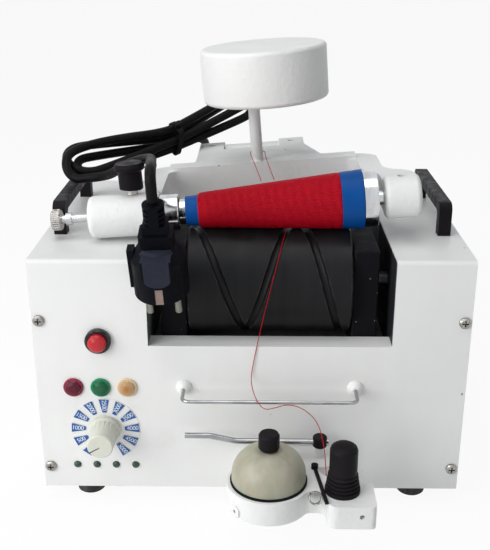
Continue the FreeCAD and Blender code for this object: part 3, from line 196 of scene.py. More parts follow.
powder, start, end = effect("powder_coat", [("Point", "Vector", (0, 0, 0)), ("Grains", "Float", 900.0),
                                            ("Lumps", "Float", 0.5)], ["Height", "Tone"])
fine = place(powder, "TexNoise", start[0], Scale=start[1], Detail=3.0, Roughness=0.6)
lump = place(powder, "TexVoronoi", start[0], Scale=sums(powder, "MULTIPLY", start[1], 0.45),
             feature="SMOOTH_F1", Smoothness=0.8)
height = sums(powder, "MULTIPLY_ADD", lump.outputs[0], start[2], fine.outputs[0])
broad = place(powder, "TexNoise", start[0], Scale=14.0, Detail=4.0)
powder.links.new(height, end[0])
powder.links.new(spread(powder, broad.outputs[0], 0.3, 0.7), end[1])

dirt, start, end = effect("handling_dirt", [("Point", "Vector", (0, 0, 0)), ("Size", "Float", 20.0),
                                            ("Cover", "Float", 0.4)], ["Mask", "Smear"])
cloud = place(dirt, "TexNoise", start[0], Scale=start[1], Detail=6.0, Roughness=0.62, Distortion=0.4)
edge = sums(dirt, "SUBTRACT", 0.85, sums(dirt, "MULTIPLY", start[2], 0.5))
dirt.links.new(spread(dirt, cloud.outputs[0], edge, 0.95), end[0])
long = place(dirt, "Mapping", start[0], Scale=(1.0, 1.0, 0.25))
smear = place(dirt, "TexNoise", long.outputs[0], Scale=sums(dirt, "MULTIPLY", start[1], 2.5), Detail=5.0)
dirt.links.new(spread(dirt, smear.outputs[0], 0.35, 0.75), end[1])

fleck, start, end = effect("flecks", [("Point", "Vector", (0, 0, 0)), ("Number", "Float", 60.0),
                                      ("Size", "Float", 0.06), ("Share", "Float", 0.2)], ["Mask"])
cell = place(fleck, "TexVoronoi", start[0], Scale=start[1])
wobble = place(fleck, "TexNoise", start[0], Scale=sums(fleck, "MULTIPLY", start[1], 9.0), Detail=2.0)
reach = sums(fleck, "MULTIPLY", start[2], spread(fleck, wobble.outputs[0], 0.3, 0.7, 0.4, 1.6))
near = sums(fleck, "LESS_THAN", cell.outputs[0], reach)
pick = place(fleck, "SeparateColor", cell.outputs[1])
some = sums(fleck, "LESS_THAN", pick.outputs[0], start[3])
fleck.links.new(sums(fleck, "MULTIPLY", near, some), end[0])


def from_axis(tree, first, second):
    """Distance from an axis, out of the two measures across it."""
    squares = sums(tree, "ADD", sums(tree, "POWER", first, 2.0), sums(tree, "POWER", second, 2.0))
    return sums(tree, "SQRT", squares)


turned, start, end = effect("turned_lines", [("Point", "Vector", (0, 0, 0)),
                                             ("Centre", "Vector", (0, 0, 0)),
                                             ("Lines", "Float", 2500.0)], ["Height", "Tone"])
off = place(turned, "VectorMath", start[0], start[1], operation="SUBTRACT")
split = place(turned, "SeparateXYZ", off.outputs[0])
across = from_axis(turned, split.outputs[1], split.outputs[2])
line = place(turned, "CombineXYZ", split.outputs[0], across, 0.0)
ridge = place(turned, "TexNoise", line.outputs[0], Scale=start[2], Detail=2.0)
broad = sums(turned, "MULTIPLY", start[2], 0.08)
band = place(turned, "TexNoise", line.outputs[0], Scale=broad, Detail=3.0)
turned.links.new(ridge.outputs[0], end[0])
turned.links.new(spread(turned, band.outputs[0], 0.3, 0.7), end[1])

rubbed, start, end = effect("rubbed_edges", [("Point", "Vector", (0, 0, 0)), ("Width", "Float", 0.0006),
                                             ("Amount", "Float", 0.6)], ["Mask"])
rounded = place(rubbed, "Bevel", start[1], samples=4)
flat = place(rubbed, "NewGeometry")
turn = place(rubbed, "VectorMath", rounded.outputs[0], flat.outputs["Normal"], operation="DOT_PRODUCT")
sharp = spread(rubbed, turn.outputs["Value"], 0.995, 0.93)
patchy = place(rubbed, "TexNoise", start[0], Scale=160.0, Detail=4.0)
worn = sums(rubbed, "MULTIPLY", sharp, spread(rubbed, patchy.outputs[0], 0.4, 0.62))
rubbed.links.new(sums(rubbed, "MULTIPLY", worn, start[2]), end[0])

# Case
# Folded steel sheets in fine white powder coat: one sheet is the front and the top, two
# are the sides, and one is the back. Grey marks and flecks show where it is handled.


def raised(tree, shader, height, distance):
    """Gives the skin a relief of the given depth in metres."""
    node = place(tree, "Bump", Strength=1.0, Distance=distance, Height=height)
    tree.links.new(node.outputs[0], shader.inputs["Normal"])


def coloured(tree, shader, base):
    """Gives the skin its colour."""
    tree.links.new(base, shader.inputs["Base Color"])


def uneven(tree, shader, mask, smooth, rough):
    """Varies the roughness with a mask."""
    tree.links.new(spread(tree, mask, 0.0, 1.0, smooth, rough), shader.inputs["Roughness"])


def paint_node(material, *names):
    """Gives CAD nodes their finish in place of the plain one."""
    for name in names:
        piece = part[name]
        piece.data.materials.clear()
        piece.data.materials.append(material)


case_white = (0.83, 0.835, 0.82, 1)
case_shade = (0.80, 0.805, 0.80, 1)
case_grey = (0.66, 0.65, 0.62, 1)
smear_grey = (0.55, 0.53, 0.50, 1)
fleck_brown = (0.16, 0.14, 0.13, 1)


def white_paint(name, grains, depth, lumps, flecks):
    """White powder coat with grains, lumps, hand dirt and dark flecks."""
    material, tree, shader, where = blank_finish(name, Roughness=0.45, Specular_IOR_Level=0.45)
    coat = marks(tree, powder, where, grains, lumps)
    soil = marks(tree, dirt, where, 22.0, 0.45)
    dots = marks(tree, fleck, where, 75.0, 0.07, flecks)
    base = mixed(tree, coat[1], case_white, case_shade)
    base = mixed(tree, sums(tree, "MULTIPLY", soil[0], 0.6), base, case_grey)
    base = mixed(tree, sums(tree, "MULTIPLY", soil[1], 0.07), base, smear_grey)
    base = mixed(tree, sums(tree, "MULTIPLY", dots[0], 0.75), base, fleck_brown)
    coloured(tree, shader, base)
    uneven(tree, shader, soil[1], 0.38, 0.52)
    raised(tree, shader, coat[0], depth)
    return material


case_paint = white_paint("case_powder_coat", 1400.0, 0.00006, 0.4, 0.10)
paint_node(case_paint, "front_top_cover", "side_panels", "rear_panel", "base_plate")

# Feet
# Four soft black rubber feet, moulded with a dusty bloom, are screwed under the base.
# They keep the machine from creeping while the drum runs.

foot_rubber, tree, shader, where = blank_finish("foot_rubber", Roughness=0.8)
soil = marks(tree, dirt, where, 90.0, 0.6)
coloured(tree, shader, mixed(tree, soil[1], (0.015, 0.015, 0.015, 1), (0.06, 0.058, 0.055, 1)))
raised(tree, shader, soil[1], 0.0001)
paint_node(foot_rubber, "rubber_feet")

# Cover screws
# Zinc plated pan screws with cross recesses hold the front sheet to the sides. The plating
# is bright with dull patches, and the recess is darkened with painted shade.

screw_zinc, tree, shader, where = blank_finish("screw_zinc", Metallic=1.0, Roughness=0.3)
soil = marks(tree, dirt, where, 500.0, 0.7)
# Painted shade: ambient occlusion darkens the colour in the cross recess toward near-black.
shade = place(tree, "AmbientOcclusion", (1, 1, 1, 1), 0.0015, samples=8)
deep = spread(tree, shade.outputs["AO"], 0.35, 0.9)
metal = mixed(tree, soil[1], (0.42, 0.41, 0.38, 1), (0.22, 0.20, 0.18, 1))
metal = mixed(tree, deep, (0.02, 0.018, 0.016, 1), metal)
coloured(tree, shader, metal)
uneven(tree, shader, soil[1], 0.22, 0.55)
raised(tree, shader, soil[1], 0.0001)
paint_node(screw_zinc, "case_screws")

# Drum bay
# A folded tray in smooth grey paint lines the bay. Its grey is set darker with painted shade
# from the drum. It is open at its right side, where the drive plate closes it, painted near-black
# as the shade of the case's inside. Lint and dust lie on the floor of the tray.

lint_white = (0.65, 0.64, 0.62, 1)
bare_steel = (0.62, 0.62, 0.61, 1)


def smooth_paint(name, colour, dusty, rough=0.4, shine=0.2):
    """Smooth paint with dust, lint and edges rubbed to the metal."""
    material, tree, shader, where = blank_finish(name, Roughness=rough, Specular_IOR_Level=shine)
    soil = marks(tree, dirt, where, 30.0, 0.5)
    rub = marks(tree, rubbed, where, 0.0006, 0.5)
    dots = marks(tree, fleck, where, 220.0, 0.10, 0.25)
    base = mixed(tree, sums(tree, "MULTIPLY", soil[1], 0.35), colour, dusty)
    base = mixed(tree, sums(tree, "MULTIPLY", dots[0], 0.4), base, lint_white)
    base = mixed(tree, rub[0], base, bare_steel)
    coloured(tree, shader, base)
    uneven(tree, shader, soil[1], rough - 0.08, rough + 0.18)
    raised(tree, shader, soil[1], 0.00005)
    return material


# Partly painted shade: the tray's grey is its paint, set darker to stand in for the drum's shadow on the
# ledge.
tray_grey_with_shade = smooth_paint("tray_grey_paint", (0.135, 0.14, 0.14, 1), (0.22, 0.22, 0.22, 1))
paint_node(tray_grey_with_shade, "drum_trough")
# Painted shade: the plate's near-black stands in for the dark inside of the case at the bay's open right
# side.
drive_plate_shade = smooth_paint("drive_plate_painted_shade", (0.013, 0.013, 0.016, 1), (0.034, 0.034, 0.038, 1), 0.45)
paint_node(drive_plate_shade, "drive_side_plate")

# Bearing blocks and bearings
# Two black moulded blocks hold the drum's ball bearings. Their faces are matt, with light
# scratches and dust where the yarn brushes past.

block_black = smooth_paint("block_moulding", (0.005, 0.005, 0.007, 1), (0.013, 0.013, 0.016, 1),
                           0.55, 0.06)
paint_node(block_black, "bearing_blocks")

drum_centre = (0.0, -0.028, 0.159)
oil_brown = (0.22, 0.20, 0.18, 1)
worn_bright = (0.86, 0.86, 0.85, 1)


def turned_steel(name, centre, bright, dull, lines=2500.0, rough=0.2):
    """Metal turned about an axis through centre, with oily dirt and bright edges."""
    material, tree, shader, where = blank_finish(name, Metallic=1.0, Roughness=rough)
    cut = marks(tree, turned, where, centre, lines)
    soil = marks(tree, dirt, where, 120.0, 0.45)
    rub = marks(tree, rubbed, where, 0.0003, 0.8)
    metal = mixed(tree, cut[1], bright, dull)
    metal = mixed(tree, sums(tree, "MULTIPLY", soil[0], 0.7), metal, oil_brown)
    metal = mixed(tree, rub[0], metal, worn_bright)
    coloured(tree, shader, metal)
    uneven(tree, shader, soil[1], rough * 0.7, rough * 1.7)
    raised(tree, shader, cut[0], 0.00002)
    return material


shaft_steel = turned_steel("ground_shaft_steel", drum_centre, (0.62, 0.62, 0.61, 1),
                           (0.50, 0.50, 0.50, 1))
paint_node(shaft_steel, "drum_bearings")
dark_shaft = turned_steel("oiled_shaft_steel", drum_centre, (0.06, 0.06, 0.062, 1),
                          (0.035, 0.035, 0.037, 1), rough=0.4)
paint_node(dark_shaft, "drum_shaft")

# Grooved drum
# A black phenolic drum, turned and polished, with a crossing groove that carries the yarn
# from side to side. The skin is worn to a soft sheen, and the groove's lips are paler.

drum_skin, tree, shader, where = blank_finish("drum_phenolic", Roughness=0.42, Specular_IOR_Level=0.14)
cut = marks(tree, turned, where, drum_centre, 1800.0)
soil = marks(tree, dirt, where, 26.0, 0.5)
lips = marks(tree, rubbed, where, 0.0012, 0.8)
base = mixed(tree, cut[1], (0.006, 0.006, 0.007, 1), (0.010, 0.010, 0.011, 1))
base = mixed(tree, sums(tree, "MULTIPLY", soil[1], 0.5), base, (0.015, 0.015, 0.016, 1))
base = mixed(tree, lips[0], base, (0.06, 0.06, 0.062, 1))
coloured(tree, shader, base)
uneven(tree, shader, soil[1], 0.36, 0.55)
raised(tree, shader, cut[0], 0.00002)
paint_node(drum_skin, "grooved_drum")

# Motor and belt drive
# Inside the case, a painted motor turns the drum by a small pulley, a belt and a large
# alloy pulley. A green board sets its speed.

pulley_alloy = turned_steel("pulley_alloy", drum_centre, (0.68, 0.68, 0.69, 1),
                            (0.56, 0.57, 0.58, 1), 1500.0, 0.28)
paint_node(pulley_alloy, "drum_pulley", "motor_pulley")
motor_paint = smooth_paint("motor_paint", (0.10, 0.105, 0.11, 1), (0.2, 0.2, 0.2, 1))
paint_node(motor_paint, "motor_body")
belt_rubber, tree, shader, where = blank_finish("belt_rubber", Roughness=0.7)
soil = marks(tree, dirt, where, 200.0, 0.6)
coloured(tree, shader, mixed(tree, soil[1], (0.012, 0.012, 0.012, 1), (0.04, 0.04, 0.04, 1)))
raised(tree, shader, soil[1], 0.00008)
paint_node(belt_rubber, "drive_belt")
board_mask, tree, shader, where = blank_finish("board_solder_mask", Roughness=0.3, Coat_Weight=0.4)
tracks = place(tree, "TexBrick", where, (0.01, 0.11, 0.04, 1), (0.015, 0.15, 0.055, 1),
               (0.35, 0.32, 0.22, 1), Scale=55.0, Mortar_Size=0.012)
coloured(tree, shader, tracks.outputs[0])
raised(tree, shader, tracks.outputs[1], 0.0001)
paint_node(board_mask, "control_board")

# Push button
# A red domed cap in a glossy black bezel starts and stops the drum. The cap is moulded,
# bright at its rim, with fine scratches where fingers press it.


def moulding(name, colour, worn, rough, coat=0.0, shine=0.18):
    """Moulded plastic with a fine grain, worn paler in patches and at its edges."""
    material, tree, shader, where = blank_finish(name, Roughness=rough, Coat_Weight=coat,
                                                 Coat_Roughness=0.12, Specular_IOR_Level=shine)
    skin = marks(tree, powder, where, 900.0, 0.3)
    soil = marks(tree, dirt, where, 60.0, 0.5)
    rub = marks(tree, rubbed, where, 0.0005, 0.7)
    base = mixed(tree, sums(tree, "MULTIPLY", skin[1], 0.5), colour, worn)
    base = mixed(tree, sums(tree, "MULTIPLY", soil[1], 0.3), base, worn)
    base = mixed(tree, rub[0], base, worn)
    coloured(tree, shader, base)
    uneven(tree, shader, soil[1], rough * 0.75, min(1.0, rough * 1.5))
    raised(tree, shader, skin[0], 0.00003)
    return material


gloss_black = moulding("gloss_black_moulding", (0.006, 0.006, 0.007, 1), (0.04, 0.04, 0.04, 1), 0.25, 0.3)
paint_node(gloss_black, "button_bezel", "cord_gland")
button_red = moulding("button_red_moulding", (0.42, 0.008, 0.015, 1), (0.62, 0.05, 0.06, 1), 0.3, 0.3)
paint_node(button_red, "push_button")

# Lamps and status lights
# Three clear tinted lenses with a ribbed inside, and four small dark lights below the
# dial. Light sinks into a lens; its brighter rim and the glints on its ribs are painted highlights.

lens_ribs = 28.0
lens_rings = 5200.0


def lens(name, middle, deep, rim, centre):
    """Tinted lens about centre: its colour goes from middle to deep, then to the rim colour, a painted
    highlight, with painted glints along the ribs.
    """
    material, tree, shader, where = blank_finish(name, Roughness=0.15, Coat_Weight=0.1,
                                                 Coat_Roughness=0.03, Specular_IOR_Level=0.2,
                                                 Subsurface_Weight=0.25, Subsurface_Scale=0.002)
    off = place(tree, "VectorMath", where, centre, operation="SUBTRACT")
    axes = place(tree, "SeparateXYZ", off.outputs[0])
    out = from_axis(tree, axes.outputs[0], axes.outputs[2])
    turn = sums(tree, "ARCTAN2", axes.outputs[2], axes.outputs[0])
    ribs = sums(tree, "SINE", sums(tree, "MULTIPLY", turn, lens_ribs))
    ribs = spread(tree, ribs, -1.0, 1.0, 0.0, 0.5)
    rings = sums(tree, "SINE", sums(tree, "MULTIPLY", out, lens_rings))
    # Painted highlight: glints along the ribs and the brighter rim colour are painted into the base
    # colour.
    painted_glint = sums(tree, "MULTIPLY", ribs, spread(tree, out, 0.0015, 0.006))
    base = mixed(tree, spread(tree, out, 0.001, 0.0045), middle, deep)
    base = mixed(tree, spread(tree, out, 0.005, 0.0068), base, rim)
    base = mixed(tree, painted_glint, base, rim)
    base = mixed(tree, spread(tree, rings, 0.3, 1.0, 0.0, 0.2), base, deep)
    coloured(tree, shader, base)
    raised(tree, shader, ribs, 0.0001)
    return material


panel_face = -0.073
lamp_height = 0.0934
lens_kinds = (("lamp_red", -0.1244, (0.11, 0.004, 0.020, 1), (0.07, 0.002, 0.012, 1),
               (0.30, 0.03, 0.07, 1)),
              ("lamp_green", -0.1053, (0.012, 0.13, 0.055, 1), (0.0, 0.075, 0.028, 1),
               (0.02, 0.26, 0.12, 1)),
              ("lamp_amber", -0.0866, (0.46, 0.20, 0.05, 1), (0.45, 0.28, 0.14, 1),
               (0.74, 0.56, 0.36, 1)))
for name, x, middle, deep, rim in lens_kinds:
    paint_node(lens(name + "_lens", middle, deep, rim, (x, panel_face, lamp_height)), name)
status_lens = lens("status_lens", (0.02, 0.05, 0.03, 1), (0.01, 0.03, 0.018, 1),
                   (0.05, 0.09, 0.06, 1), (-0.1045, panel_face, 0.0305))
paint_node(status_lens, "status_leds")

# Speed dial
# A white round plate with eleven blue wedges and their plain numbers, printed from 0 to
# 5000, and a raised white disc in its middle. The pointer line is on the fluted knob.

dial_centre = Vector((-0.1037, -0.0734, 0.0597))
dial_white = white_paint("dial_plate_white", 2500.0, 0.00002, 0.2, 0.03)
paint_node(dial_white, "dial_plate")


def flat_on_dial(name, points, faces, out):
    """Places a drawing made in X and Y on the dial's front, turned to face the user."""
    spots = [dial_centre + Vector((x, -out, y)) for x, y in points]
    return new_mesh(name, spots, faces, False)


wedge_points = []
wedge_faces = []
digit_points = []
digit_faces = []
wedge_in, wedge_out = 0.0139, 0.0241
wedge_ends = ((wedge_in, 0.0014), (wedge_out, 0.0036))
wedge_count = 11
first_bearing = -143.5
bearing_step = 28.7
number_step = 500
for step in range(wedge_count):
    bearing = math.radians(first_bearing + bearing_step * step)
    ray = Vector((math.sin(bearing), math.cos(bearing)))
    side = Vector((ray.y, -ray.x))
    first = len(wedge_points)
    for out, half in wedge_ends:
        for sign in (-1, 1):
            spot = ray * out + side * half * sign
            wedge_points.append((spot.x, spot.y))
    wedge_faces.append((first, first + 1, first + 3, first + 2))
    letters = bpy.data.curves.new("dial_number", "FONT")
    letters.body = str(number_step * step)
    letters.size = 0.0046
    letters.space_character = 0.9
    letters.align_x = "CENTER"
    letters.align_y = "CENTER"
    holder = bpy.data.objects.new("dial_number", letters)
    drawn = bpy.data.meshes.new_from_object(holder)
    along = ray if step > wedge_count // 2 else ray * -1
    up = Vector((-along.y, along.x))
    middle = ray * (0.5 * (wedge_in + wedge_out) + 0.0006)
    first = len(digit_points)
    for vertex in drawn.vertices:
        spot = middle + along * vertex.co.x + up * vertex.co.y
        digit_points.append((spot.x, spot.y))
    digit_faces += [[first + i for i in face.vertices] for face in drawn.polygons]
    bpy.data.objects.remove(holder)
wedges = flat_on_dial("dial_wedges", wedge_points, wedge_faces, 0.00042)
digits = flat_on_dial("dial_numbers", digit_points, digit_faces, 0.00048)


def print_ink(name, colour, thin):
    """Printed ink, thinner in small spots."""
    material, tree, shader, where = blank_finish(name, Roughness=0.4)
    grain = place(tree, "TexNoise", where, Scale=2500.0, Detail=3.0)
    base = mixed(tree, spread(tree, grain.outputs[0], 0.45, 0.75), colour, thin)
    coloured(tree, shader, base)
    raised(tree, shader, grain.outputs[0], 0.00001)
    return material


wedges.data.materials.append(print_ink("dial_blue_ink", (0.008, 0.080, 0.30, 1), (0.015, 0.13, 0.40, 1)))
digits.data.materials.append(print_ink("dial_white_ink", (0.80, 0.86, 0.92, 1), (0.60, 0.72, 0.85, 1)))
for piece in (wedges, digits):
    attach(piece, "root")

# Speed knob
# A fluted knob in beige grey plastic, pushed on the potentiometer's shaft. A dark pointer
# line is filled into its flat end.

knob_plastic = moulding("knob_grey_beige", (0.62, 0.63, 0.54, 1), (0.72, 0.72, 0.64, 1), 0.5)
paint_node(knob_plastic, "speed_knob")
knob_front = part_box("speed_knob")[0][1]
pointer_way = math.radians(-120.0)
ray = Vector((math.sin(pointer_way), 0, math.cos(pointer_way)))
side = Vector((ray.z, 0, -ray.x))
tip = Vector((dial_centre.x, knob_front - 0.00005, dial_centre.z))
pointer_ends = ((0.0005, -0.0003), (0.0005, 0.0003), (0.0085, 0.0004), (0.0085, -0.0004))
corners = [tip + ray * along + side * half for along, half in pointer_ends]
pointer = new_mesh("knob_pointer", corners, [(0, 1, 2, 3)], False)
pointer.data.materials.append(print_ink("pointer_ink", (0.02, 0.02, 0.025, 1), (0.06, 0.06, 0.07, 1)))
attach(pointer, "speed_knob")
pot_steel = turned_steel("pot_plated_steel", (-0.1037, -0.06, 0.060), (0.6, 0.6, 0.58, 1),
                         (0.5, 0.5, 0.48, 1))
paint_node(pot_steel, "speed_potentiometer")

# Guide wire and its grommets
# A bright chromed wire bent into a long bracket guides the yarn up to the drum. Its ends
# sit in round white grommets in the front sheet.

chrome = turned_steel("bright_chrome", (0.0, 0.0, 0.094), (0.40, 0.40, 0.40, 1),
                      (0.28, 0.28, 0.29, 1), 900.0, 0.1)
paint_node(chrome, "guide_wire", "guide_rod")
grommet_white = white_paint("grommet_white", 2000.0, 0.00002, 0.2, 0.02)
paint_node(grommet_white, "guide_grommets")

# Handles
# Two black handles are moulded in one piece each and bolted to the top. They are a
# little paler where hands hold them.

handle_black = moulding("handle_black_moulding", (0.006, 0.005, 0.006, 1), (0.02, 0.017, 0.02, 1),
                        0.42, shine=0.06)
paint_node(handle_black, "carry_handles")

# Cradle, weight and hinge
# Sand cast arms in a coarse white finish hold the cone's centres, and a heavy disc on a
# post presses the cone on the drum. The paint is pitted and marked by dark flecks.

cast_white = white_paint("cast_white_paint", 520.0, 0.00022, 0.9, 0.16)
paint_node(cast_white, "cradle_casting", "weight_post", "weight_disc", "tension_bracket")
hinge_paint = white_paint("hinge_white_paint", 800.0, 0.0001, 0.5, 0.12)
paint_node(hinge_paint, "hinge_pedestal")
pin_steel = turned_steel("hinge_pin_steel", (0.0, 0.130, 0.216), (0.6, 0.6, 0.6, 1),
                         (0.45, 0.45, 0.45, 1))
paint_node(pin_steel, "hinge_pin")

# Left centre and chucks
# Turned steel pieces carry the cone: a sliding rod with a knurled nickel knob, a cup with
# the live centre, and the driven side's chuck. They are bright, with fine turned lines.

spindle_centre = (0.0125, -0.028, 0.2132)
centre_steel = turned_steel("centre_steel", spindle_centre, (0.66, 0.66, 0.66, 1),
                            (0.50, 0.50, 0.51, 1), 2200.0, 0.14)
paint_node(centre_steel, "slide_rod", "bearing_cup", "live_centre", "cone_chuck")
nickel = turned_steel("knurl_nickel", spindle_centre, (0.46, 0.44, 0.41, 1),
                      (0.30, 0.28, 0.26, 1), 1200.0, 0.24)
paint_node(nickel, "knurled_knob")

# Black knobs and tension cap
# Small turned and moulded black pieces: the wax seat and its knob, the clamp knob of the
# guide rod, the ribbed tension cap with its base and lever, and the lock knob on its neck.

knob_black = moulding("ribbed_black_moulding", (0.007, 0.006, 0.007, 1), (0.02, 0.018, 0.02, 1),
                      0.46, shine=0.06)
paint_node(knob_black, "wax_knob", "clamp_knob", "tensioner_cap", "tensioner_base", "tension_lever",
           "wax_seat")


def reopened(material):
    """Tree, shader, point and colour of a finish that gets one more layer."""
    tree = material.node_tree
    shader = tree.nodes["Principled BSDF"]
    where = tree.nodes["Texture Coordinate"].outputs["Object"]
    return tree, shader, where, shader.inputs["Base Color"].links[0].from_socket


lock_black = moulding("lock_knob_black_on_steel_neck", (0.005, 0.004, 0.005, 1),
                      (0.013, 0.011, 0.013, 1), 0.46, shine=0.06)
tree, shader, where, skin = reopened(lock_black)
cut = marks(tree, turned, where, spindle_centre, 1500.0)
neck_top = 0.2252
above = place(tree, "SeparateXYZ", where).outputs[2]
on_neck = sums(tree, "LESS_THAN", above, neck_top)
neck_steel = mixed(tree, cut[1], (0.55, 0.54, 0.52, 1), (0.36, 0.34, 0.32, 1))
coloured(tree, shader, mixed(tree, on_neck, skin, neck_steel))
tree.links.new(on_neck, shader.inputs["Metallic"])
paint_node(lock_black, "lock_knob")

# Cone
# A blue moulded cone of 4 degrees 20 minutes, smooth with a soft shine, holds the yarn.
# Its ends show past the winding.

cone_blue = moulding("cone_blue_moulding", (0.002, 0.052, 0.23, 1), (0.004, 0.085, 0.32, 1),
                     0.38, shine=0.1)
paint_node(cone_blue, "cone_core")

# Wax
# A dome of cream paraffin wax turns on its seat and rubs the running yarn. It is cloudy,
# with soft scratches and grooves from the yarn.

wax_cream, tree, shader, where = blank_finish("paraffin_wax", Roughness=0.45, Subsurface_Weight=0.6,
                                              Subsurface_Scale=0.006)
soil = marks(tree, dirt, where, 45.0, 0.7)
base = mixed(tree, soil[1], (0.38, 0.37, 0.28, 1), (0.47, 0.46, 0.37, 1))
base = mixed(tree, sums(tree, "MULTIPLY", soil[0], 0.6), base, (0.30, 0.28, 0.20, 1))
coloured(tree, shader, base)
uneven(tree, shader, soil[1], 0.35, 0.6)
raised(tree, shader, soil[1], 0.0004)
paint_node(wax_cream, "wax_disc")

# Tension spring
# A wire of spring steel, coiled by the tension lever, holds the lever against the yarn.
# It is dull with oil.

spring_steel = turned_steel("spring_steel", (0.045, -0.13, 0.04), (0.36, 0.36, 0.34, 1),
                            (0.24, 0.24, 0.22, 1))
paint_node(spring_steel, "tension_spring")

# Yarn on the cone
# Red polyester yarn, cross wound in fine crossing turns from end to end. Strands lie
# side by side over a filled body, and the ends are a little rounded.

yarn_axis = Vector((0.99714, 0, 0.07556))
yarn_up = Vector((-0.07556, 0, 0.99714))
yarn_middle = Vector(spindle_centre)
yarn_from, yarn_to = -0.0370, 0.0620
yarn_radius = 0.0159
cone_slope = math.tan(math.radians(4.3333))
strand_radius = 0.00022
strands = 26
strand_steps = 34
wraps = 6
end_drop, end_reach = 0.0008, 0.0009
body_sink, strand_sink, strand_wave = 0.0003, 0.00012, 0.00008
family_turn = 0.11


def yarn_spot(share, turn, lift):
    """A point on the winding at a share of its length and an angle round it."""
    x = yarn_from + share * (yarn_to - yarn_from)
    end = min(share, 1 - share) * (yarn_to - yarn_from)
    along = x - spindle_centre[0]
    r = yarn_radius + along * cone_slope + lift - end_drop * math.exp(-end / end_reach)
    across = Vector((0, 1, 0)) * r * math.cos(turn) + yarn_up * r * math.sin(turn)
    return yarn_middle + yarn_axis * along + across


points = []
faces = []
around, length = 120, 80
for i in range(length + 1):
    for j in range(around):
        points.append(yarn_spot(i / length, 2 * math.pi * j / around, -body_sink))
for i in range(length):
    for j in range(around):
        k = (j + 1) % around
        near, far = i * around, (i + 1) * around
        faces.append((near + j, near + k, far + k, far + j))
for row in (0, length):
    ring = list(range(row * around, row * around + around))
    faces.append(ring if row else ring[::-1])
for family in (-1, 1):
    for n in range(strands):
        offset = 2 * math.pi * n / strands + family_turn * family
        count = wraps * strand_steps
        first = len(points)
        for i in range(count + 1):
            share = i / count
            turn = offset + family * 2 * math.pi * wraps * share
            lift = strand_wave * math.sin(7.1 * turn + n) - strand_sink
            spot = yarn_spot(share, turn, lift)
            out = (yarn_spot(share, turn, lift + 0.001) - spot).normalized()
            for sweep, rise in ((-1, 0), (0, 1), (1, 0)):
                points.append(spot + yarn_axis * sweep * strand_radius * 1.2 + out * rise * strand_radius)
        for i in range(count):
            a = first + 3 * i
            faces += [(a, a + 1, a + 4, a + 3), (a + 1, a + 2, a + 5, a + 4)]
winding = new_mesh("red_winding", points, faces)
yarn_red, tree, shader, where = blank_finish("red_yarn", Roughness=0.5, Specular_IOR_Level=0.1)
off = place(tree, "VectorMath", where, tuple(yarn_middle), operation="SUBTRACT")
axes = place(tree, "SeparateXYZ", off.outputs[0])
turn = sums(tree, "ARCTAN2", axes.outputs[2], axes.outputs[1])
twist = sums(tree, "MULTIPLY_ADD", axes.outputs[0], 9000.0, sums(tree, "MULTIPLY", turn, 20.0))
twist = sums(tree, "SINE", twist)
fuzz = place(tree, "TexNoise", where, Scale=1500.0, Detail=4.0)
cloud = place(tree, "TexNoise", where, Scale=60.0, Detail=5.0)
deep_red, bright_red = (0.32, 0.001, 0.010, 1), (0.61, 0.004, 0.020, 1)
base = mixed(tree, spread(tree, fuzz.outputs[0], 0.3, 0.7), deep_red, bright_red)
base = mixed(tree, spread(tree, twist, 0.0, 1.0, 0.0, 0.3), base, (0.16, 0.0, 0.004, 1))
base = mixed(tree, spread(tree, cloud.outputs[0], 0.55, 0.75, 0.0, 0.2), base, (0.60, 0.01, 0.02, 1))
coloured(tree, shader, base)
height = sums(tree, "ADD", fuzz.outputs[0], sums(tree, "MULTIPLY", twist, 0.4))
raised(tree, shader, height, 0.00015)
winding.data.materials.append(yarn_red)
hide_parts("yarn_package")
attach(winding, "cone_spindle")

# Mains cord
# A black 7 mm cord leaves the gland at the back, lies on top as a hank in a plastic tie,
# and passes behind the lock knob to its moulded plug, which hangs before the bay.

cord_radius = 0.0035
hank_middle = Vector((-0.0653, 0.1080, 0.2314))
left_way = Vector((-0.774, -0.625, -0.094)).normalized()
right_way = Vector((0.745, 0.583, 0.320)).normalized()
hank_across = Vector((-0.587, 0.685, 0.432)).normalized()
hank_up = hank_across.cross(left_way).normalized()
layer_step = 0.0076
waist_half = 0.0037
left_folds = ((0.0885, 0.0102, 0.0030), (0.0975, 0.0158, 0.0036))
right_folds = ((0.0840, 0.0120, 0.0010), (0.0800, 0.0080, 0.0030))
lead_spots = [(-0.0600, 0.1630, 0.0600), (-0.0600, 0.1890, 0.0620), (-0.0600, 0.2030, 0.0880),
              (-0.0600, 0.1960, 0.1250), (-0.0570, 0.1790, 0.1630), (-0.0500, 0.1680, 0.1960),
              (-0.0420, 0.1640, 0.2130), (-0.0440, 0.1490, 0.2230), (-0.0560, 0.1330, 0.2270)]
drop_spots = [(-0.1240, 0.0305, 0.2172), (-0.1110, 0.0260, 0.2200), (-0.1020, 0.0100, 0.2265),
              (-0.0940, -0.0045, 0.2345), (-0.0788, -0.0108, 0.2416), (-0.0686, -0.0266, 0.2462),
              (-0.0672, -0.0510, 0.2485), (-0.0640, -0.0720, 0.2535), (-0.0618, -0.0905, 0.2566),
              (-0.0612, -0.1010, 0.2568), (-0.0608, -0.1058, 0.2535), (-0.0605, -0.1077, 0.2481),
              (-0.0601, -0.1045, 0.2365)]


def hank_spot(along, across, layer):
    """A point of the hank, measured from its tied waist: left is below 0 along it."""
    way = left_way * -along if along < 0 else right_way * along
    return hank_middle + way + hank_across * across + hank_up * (layer - 1) * layer_step


def fold_spots(end, half, middle, way, layer):
    """Control points of a round fold: way is 1 at the left end and -1 at the right."""
    octagon = ((1.55, 1.0), (0.6, 1.0), (0.0, 0.42), (0.0, -0.42), (0.6, -1.0), (1.55, -1.0))
    spots = []
    for back, side in octagon:
        spots.append(hank_spot(way * (back * half - end), middle + way * side * half, layer))
    return spots


